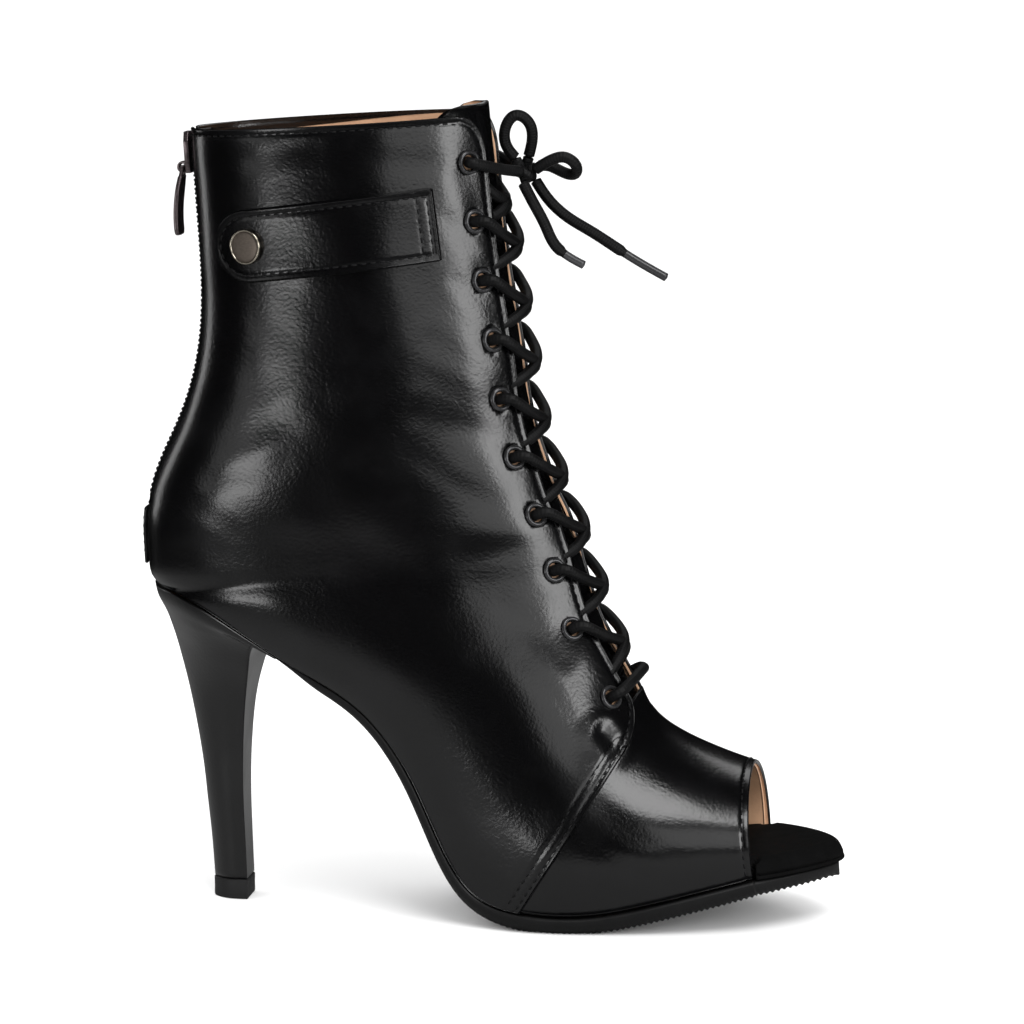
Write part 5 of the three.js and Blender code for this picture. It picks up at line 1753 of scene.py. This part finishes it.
@dataclass
class Bottom(Assembly):
    """The footbed, the sole, the heel and its rubber tip."""

    outsole: float = 5.6
    waist_slim: float = 0.62
    toe_slim: float = 0.86
    shank_crown: float = 1.2
    bevel: float = 3.6
    sole_edge: float = 0.8
    waist_tuck: float = 1.0
    insole: float = 3.0
    ball_pad: float = 3.0
    toe_rise: float = 1.8
    tip_length: float = 11.6
    tip_width: float = 11.6
    lift_height: float = 6.4
    rib_pitch: float = 1.7
    rib_depth: float = 0.6
    lift_rows: tuple[tuple[float, float], ...] = (
        (0.0, 0.985), (0.15, 1.01), (0.6, 1.03), (3.2, 1.02), (5.8, 1.03), (6.2, 1.01), (6.35, 0.985),
    )
    heel_points: int = 40
    heel_sections: tuple[tuple[float, ...], ...] = (
        (0.0, 0.0, 0.0, 0.0, 0.0, 0.0),
        (0.047, 0.15, 0.04, -0.006, 0.03, 0.1),
        (0.13, 0.38, 0.077, -0.034, 0.12, 0.25),
        (0.221, 0.58, 0.118, -0.028, 0.237, 0.4),
        (0.3, 0.72, 0.165, 0.018, 0.39, 0.6),
        (0.372, 0.8, 0.213, 0.085, 0.54, 0.8),
        (0.512, 0.91, 0.317, 0.184, 0.747, 1),
        (0.651, 1.0, 0.438, 0.316, 0.869, 1),
        (0.797, 1.054, 0.6, 0.495, 0.939, 1),
        (0.878, 1.06, 0.736, 0.667, 0.97, 1),
        (0.948, 1.034, 0.862, 0.825, 0.99, 1),
        (1, 1, 1, 1, 1, 1),
    )

    def __post_init__(self) -> None:
        """Works out the sole line's fixed places."""
        last = self.last
        ends = last.columns(np.array([last.seat, last.opening]))
        self.seat_x, self.opening_x = ends[0, 0], ends[1, 0]
        self.breast_x, self.waist_x = 0.21 * last.length, 0.47 * last.length
        self.toe_half = self.feather_half(np.array([last.opening]))[0] - 0.5

    def feather_half(self, place: Array) -> Array:
        """Returns the sole line's half width at a place."""
        return self.last.width(place, self.last.feather(place))

    def line(self, x: Array) -> tuple[Array, Array, Array]:
        """Returns the sole line's height, half width and sway: the last's, then the toe's own."""
        last = self.last
        x = np.asarray(x, float)
        inside = np.clip(x, self.seat_x, self.opening_x)
        place = bisect(lambda p: last.columns(p)[..., 0], inside, last.seat, last.opening)
        row = last.columns(place)
        toe = np.clip((x - self.opening_x) / (last.length - self.opening_x), 0, 1)
        rounded = self.toe_half * (1 - 0.25 * toe) * (1 - toe**1.6) ** 0.62
        half = np.where(x > self.opening_x, rounded, self.feather_half(place))
        sway = row[..., 5] - 3 * toe * toe
        return row[..., 1] + self.toe_rise * toe, half, sway

    def over_sole(self, x: Array, y: Array, lift: Array) -> Array:
        """Returns points above or below the sole line, measured square to it."""
        slope = np.arctan2(self.line(x + 0.5)[0] - self.line(x - 0.5)[0], 1)
        height = self.line(x)[0]
        return np.stack(np.broadcast_arrays(x - np.sin(slope) * lift, y, height + np.cos(slope) * lift), -1)

    def sole(self) -> None:
        """Builds the sole: a ring of points for each x, its foot ribbed from the ball to the toe.

        Across the section the half width falls as bevel u^2.4 from the top edge to the bottom one,
        and the ribs are a cosine along x that fades towards the middle of the tread.
        """
        last = self.last
        start, nose = self.breast_x - 5, last.length - 7
        x = np.concatenate([np.linspace(start, self.waist_x, 80)[:-1],
                            np.linspace(self.waist_x, nose, 330)[:-1],
                            spread(nose, last.length - 1.52, 60)])[:, None]
        half, sway = self.line(x + 1.5 * smooth(x, self.opening_x, last.length - 1.5))[1:]
        edge = mix(-self.waist_tuck, self.sole_edge, smooth(x, self.breast_x, self.waist_x))
        half = mix(half + edge, half * 0.98, smooth(x, self.opening_x - 1, self.opening_x + 9))
        waist = mix(self.waist_slim, 1, smooth(x, self.waist_x - 10, self.waist_x + 22))
        waist = waist * mix(0.25, 1, smooth(x, start, self.breast_x + 16))
        thick = self.outsole * waist * mix(1, self.toe_slim, smooth(x, 0.8 * last.length, last.length))
        drop = np.linspace(0, 1, 9)[None]
        bevel = np.minimum(self.bevel, half / 2)
        wall = bevel * drop**2.4
        tread = spread(1, -1, 41, 0.3)[None]
        shank = smooth(x, self.breast_x, self.breast_x + 14)
        shank = shank * (1 - smooth(x, self.waist_x - 30, self.waist_x))
        crown = self.shank_crown * (1 - tread**2) * shank
        ribs = self.rib_depth / 2 * (np.cos(2 * np.pi * x / self.rib_pitch) - 1)
        ribs = ribs * smooth(x, self.waist_x + 6, self.waist_x + 30)
        rim_ribs = ribs * smooth(np.abs(tread), 0.5, 0.95)
        down = -2 * last.fit - (thick - last.fit) * drop - ribs * drop**4
        left = self.over_sole(x, sway + half - wall, down)
        bottom = self.over_sole(x, sway + tread * (half - bevel), -last.fit - thick - crown - rim_ribs)
        right = self.over_sole(x, sway - half + wall, down)[:, ::-1]
        top = self.over_sole(x, sway + spread(-1, 1, 9)[None] * half, -2 * last.fit)
        ring = np.concatenate([left, bottom[:, 1:-1], right, top[:, 1:-1], left[:, :1]], 1)
        ring[..., 2] = np.maximum(0, ring[..., 2])
        self.shop.piece("sole_rubber", capped(ring), [self.finishes.rubber], "sole", ["outsole"])

    def footbed(self) -> None:
        """Builds the suede footbed, padded under the ball and rounded along the toe's rim."""
        last = self.last
        back, rear = 4.1, 31
        start = self.seat_x + back
        toe = np.sin(np.linspace(0, np.pi / 2, 90))[1:]
        x = np.concatenate([start + rear * np.linspace(0, 1, 40) ** 2,
                            np.linspace(start + rear, self.opening_x, 90)[1:],
                            mix(self.opening_x, last.length, toe)])[:, None]
        near = 1 - smooth(x, start, start + 30)
        inside = self.line(np.maximum(self.seat_x, x - back * near))[1] - 4.0 * (1 - near)
        _, half, sway = self.line(x)
        narrow = np.minimum(inside, half - last.wall - 2 * last.fit)
        open_toe = smooth(x, self.opening_x, self.opening_x + 1)
        half = np.maximum(0.02, np.where(x < self.opening_x + 1, mix(narrow, half, open_toe), half))
        half = np.where(x <= start, 0.02, half)
        pad = smooth(x, 0.49 * last.length, 0.8 * last.length)
        thick = (self.insole + self.ball_pad * pad) * mix(1, 1.08, smooth(x, self.opening_x, last.length))
        share = spread(-1, 1, 90, 0.8)[None]
        plan = np.stack(np.broadcast_arrays(x, share * half, 0.0), -1)
        ahead = plan[x[:, 0] > self.opening_x - 1]
        gap = nearest(plan, np.concatenate([ahead[:, 0], ahead[::-1, -1]]))
        rim = rounding(1 - gap / 3.2) * smooth(x, self.opening_x - 3, self.opening_x + 2)
        top = self.over_sole(x, sway + share * half, mix(thick + 0.5 * smooth(gap, 0, 9), 1.2, rim))
        foot = self.over_sole(x, sway + share * half, 0.0)
        surface = sheet(top, foot, 0.35)
        self.shop.piece("footbed_suede", surface, [self.finishes.suede] * 2, "suede", ["insole"])

    def half_outline(self, count: int) -> tuple[Array, Array, Array, Array]:
        """Returns half of the heel's outline at the seat and at the tip, from back to breast.

        Both go along as a power of an even share, then straight across the breast to the middle.
        """
        share = np.linspace(0, 1, count)
        across = np.linspace(1, 0, 9)[1:]
        seat_along = share**1.8
        seat_half = self.line(mix(self.seat_x, self.breast_x, seat_along))[1]
        tip_half = np.sin(np.pi / 2 * np.minimum(1, share * 1.25))
        flat = np.ones(len(across))
        return (np.concatenate([seat_along, flat]), np.concatenate([seat_half, seat_half[-1] * across]),
                np.concatenate([share**1.4, flat]), np.concatenate([tip_half, across]))

    def rings(self, sections: Array) -> Array:
        """Returns the heel's rings, one for each section row, in the last's frame."""
        last = self.last
        seat_along, seat_half, tip_along, tip_half = self.half_outline(self.heel_points)
        widest = seat_half.max()
        middle = last.heel_axis * last.length
        tip_back, tip_front = middle - self.tip_length / 2, middle + self.tip_length / 2
        foot = self.lift_height + last.fit
        back, front, back_down, front_down, slim, round_it = (sections[:, k, None] for k in range(6))
        seat_z, breast_z = self.line(np.array([self.seat_x, self.breast_x]))[0]
        back_x, front_x = mix(self.seat_x, tip_back, back), mix(self.breast_x, tip_front, front)
        back_z, front_z = mix(seat_z, foot, back_down), mix(breast_z, foot, front_down)
        along = mix(seat_along[None], tip_along[None], round_it)
        half = mix(widest, self.tip_width / 2, slim) * mix(seat_half[None] / widest, tip_half[None], round_it)
        sway = mix(self.line(np.array([self.breast_x]))[2], 0.0, slim)
        x, z = mix(back_x, front_x, along), mix(back_z, front_z, along)
        sides = [np.stack([x, sway + sign * half, z], -1) for sign in (-1, 1)]
        return np.concatenate([sides[0], sides[1][:, -2::-1]], 1)

    def heel(self) -> None:
        """Builds the heel by carrying its sections along a smooth curve from the seat to the tip."""
        table = np.array(self.heel_sections)
        sections = Spline(np.arange(len(table)), table)(np.linspace(0, len(table) - 1, 130))
        sections[:, 5] = np.clip(sections[:, 5], 0, 1)
        rings = self.rings(sections)
        seat_x = mix(self.seat_x, self.breast_x, self.half_outline(self.heel_points)[0])
        seat_z = self.line(seat_x)[0] - 2 * self.last.fit
        curve = np.concatenate([seat_z, seat_z[-2::-1]]) - rings[0, :, 2]
        rings[..., 2] += curve * (1 - smooth(np.arange(len(rings)), 0, 34))[:, None]
        self.shop.piece("heel_cover", capped(rings), [self.finishes.heel], "heel_cover", ["heel"])

    def lift(self) -> None:
        """Builds the rubber tip: the heel's last outline, rounded at its upper and lower edges."""
        outline = self.rings(np.ones((1, 6)))[0]
        centre = np.array([self.last.heel_axis * self.last.length, 0, 0])
        rows = []
        for z, grow in self.lift_rows:
            row = centre + (outline - centre) * (grow, grow, 1)
            row[:, 2] = z
            rows.append(row)
        surface = capped(np.array(rows))
        obj = self.shop.piece("tip_block", surface, [self.finishes.tip], "top_lift", ["top_lift"])
        obj.data.set_sharp_from_angle(angle=math.radians(50))

    def build(self) -> None:
        """Builds every piece of the bottom."""
        self.sole()
        self.footbed()
        self.heel()
        self.lift()


# ---------------------------------------------------------------- the studio


def aim_at(obj: Piece, place: Sequence[float], target: Sequence[float]) -> None:
    """Puts an object at a place and turns its -Z axis towards a target."""
    obj.location = place
    obj.rotation_euler = (Vector(target) - Vector(place)).to_track_quat("-Z", "Y").to_euler()


@dataclass(frozen=True)
class Softbox:
    """A rectangular light that points at the boot."""

    name: str
    place: tuple[float, float, float]
    size: tuple[float, float]
    watts: float
    aim: tuple[float, float, float] = (0.0, 0.0, 0.11)

    def build(self) -> None:
        """Adds the light."""
        data = bpy.data.lights.new(self.name, "AREA")
        data.shape, data.size, data.size_y, data.energy = "RECTANGLE", *self.size, self.watts
        lamp = placed(self.name, data)
        aim_at(lamp, self.place, self.aim)
        lamp.visible_camera = False


@dataclass
class Studio:
    """The camera, the pale floor and the soft lights."""

    eye: tuple[float, float, float] = (0.2179, -1.4168, 0.3475)
    aim: tuple[float, float, float] = (0.0061, 0.0004, 0.12571)
    lens: float = 163.1
    floor_span: float = 14.0
    daylight: float = 1.32
    lights: tuple[Softbox, ...] = (
        Softbox("right_softbox", (1.08, -0.68, 0.39), (0.42, 0.6), 4.8),
        Softbox("right_fill", (0.68, -1.06, 0.46), (0.76, 0.7), 2.1),
        Softbox("left_softbox", (-0.92, -0.9, 0.34), (0.52, 0.42), 0.5),
        Softbox("left_low", (-0.47, -0.65, 0.07), (0.24, 0.12), 0.52, (-0.07, -0.03, 0.12)),
        Softbox("rear_strip", (-1.18, 0.55, 0.28), (0.3, 0.8), 1.1),
        Softbox("top_softbox", (0.37, -0.6, 1.09), (0.6, 0.6), 7.5),
        Softbox("rear_top", (0.1, 1.0, 0.95), (0.6, 0.5), 1.4),
    )

    def camera(self) -> None:
        """Sets the camera at the photo's angle."""
        data = bpy.data.cameras.new("camera")
        data.lens, data.sensor_width, data.clip_start, data.clip_end = self.lens, 36.0, 0.05, 60.0
        obj = placed("camera", data)
        aim_at(obj, self.eye, self.aim)
        bpy.context.scene.camera = obj

    def floor(self) -> None:
        """Lays the pale floor, which glossy surfaces see darker far from the boot."""
        paint = Finish("floor_paint", (0.93, 0.93, 0.93), 0.7, specular=0.1)
        material, nodes, base = paint.shader()
        where = nodes.add("TexCoord").outputs["Object"]
        far = nodes.add("VectorMath", {0: where}, operation="LENGTH").outputs["Value"]
        mirrored = nodes.add("LightPath").outputs["Is Glossy Ray"]
        dark = nodes.maths("MULTIPLY", mirrored, nodes.ramp(far, 0.15, 0.6, 0.74))
        nodes.feed(base, {"Base Color": nodes.blend(dark, paint.tint(1.0), paint.tint(0.0))})
        mesh = bpy.data.meshes.new("floor")
        span = self.floor_span
        corners = [(-span, -span, 0), (span, -span, 0), (span, span, 0), (-span, span, 0)]
        mesh.from_pydata(corners, [], [(0, 1, 2, 3)])
        mesh.materials.append(material)
        placed("floor", mesh)

    def sky(self) -> None:
        """Fills the studio with soft white light that glossy surfaces see much darker."""
        world = bpy.data.worlds.new("studio")
        world.use_nodes = True
        bpy.context.scene.world = world
        nodes = Nodes(world.node_tree)
        ray = nodes.add("LightPath")
        back = world.node_tree.nodes["Background"]
        level = nodes.blend(ray.outputs["Is Glossy Ray"], (1.0, 1.0, 1.0, 1), (0.005, 0.005, 0.005, 1))
        nodes.feed(back, {"Color": level})
        back.inputs["Strength"].default_value = self.daylight

    def build(self) -> None:
        """Sets the floor, the lights and the colours' view."""
        self.floor()
        self.sky()
        for light in self.lights:
            light.build()
        bpy.context.scene.view_settings.view_transform = "Standard"


def main() -> None:
    """Builds the camera, the cords, the boot and the studio."""
    logging.basicConfig(level=logging.INFO, format="%(name)s: %(message)s")
    studio = Studio()
    studio.camera()
    shop = Workshop(Last())
    finishes = Finishes()
    lacing = Lacing(shop, finishes)
    lacing.cords()
    lacing.build()
    for part in (Upper, Tongue, Eyelets, SideStrap, BackZip, Bottom):
        part(shop, finishes).build()
        LOG.info("built %s", part.__name__)
    studio.build()


if __name__ == "__main__":
    main()
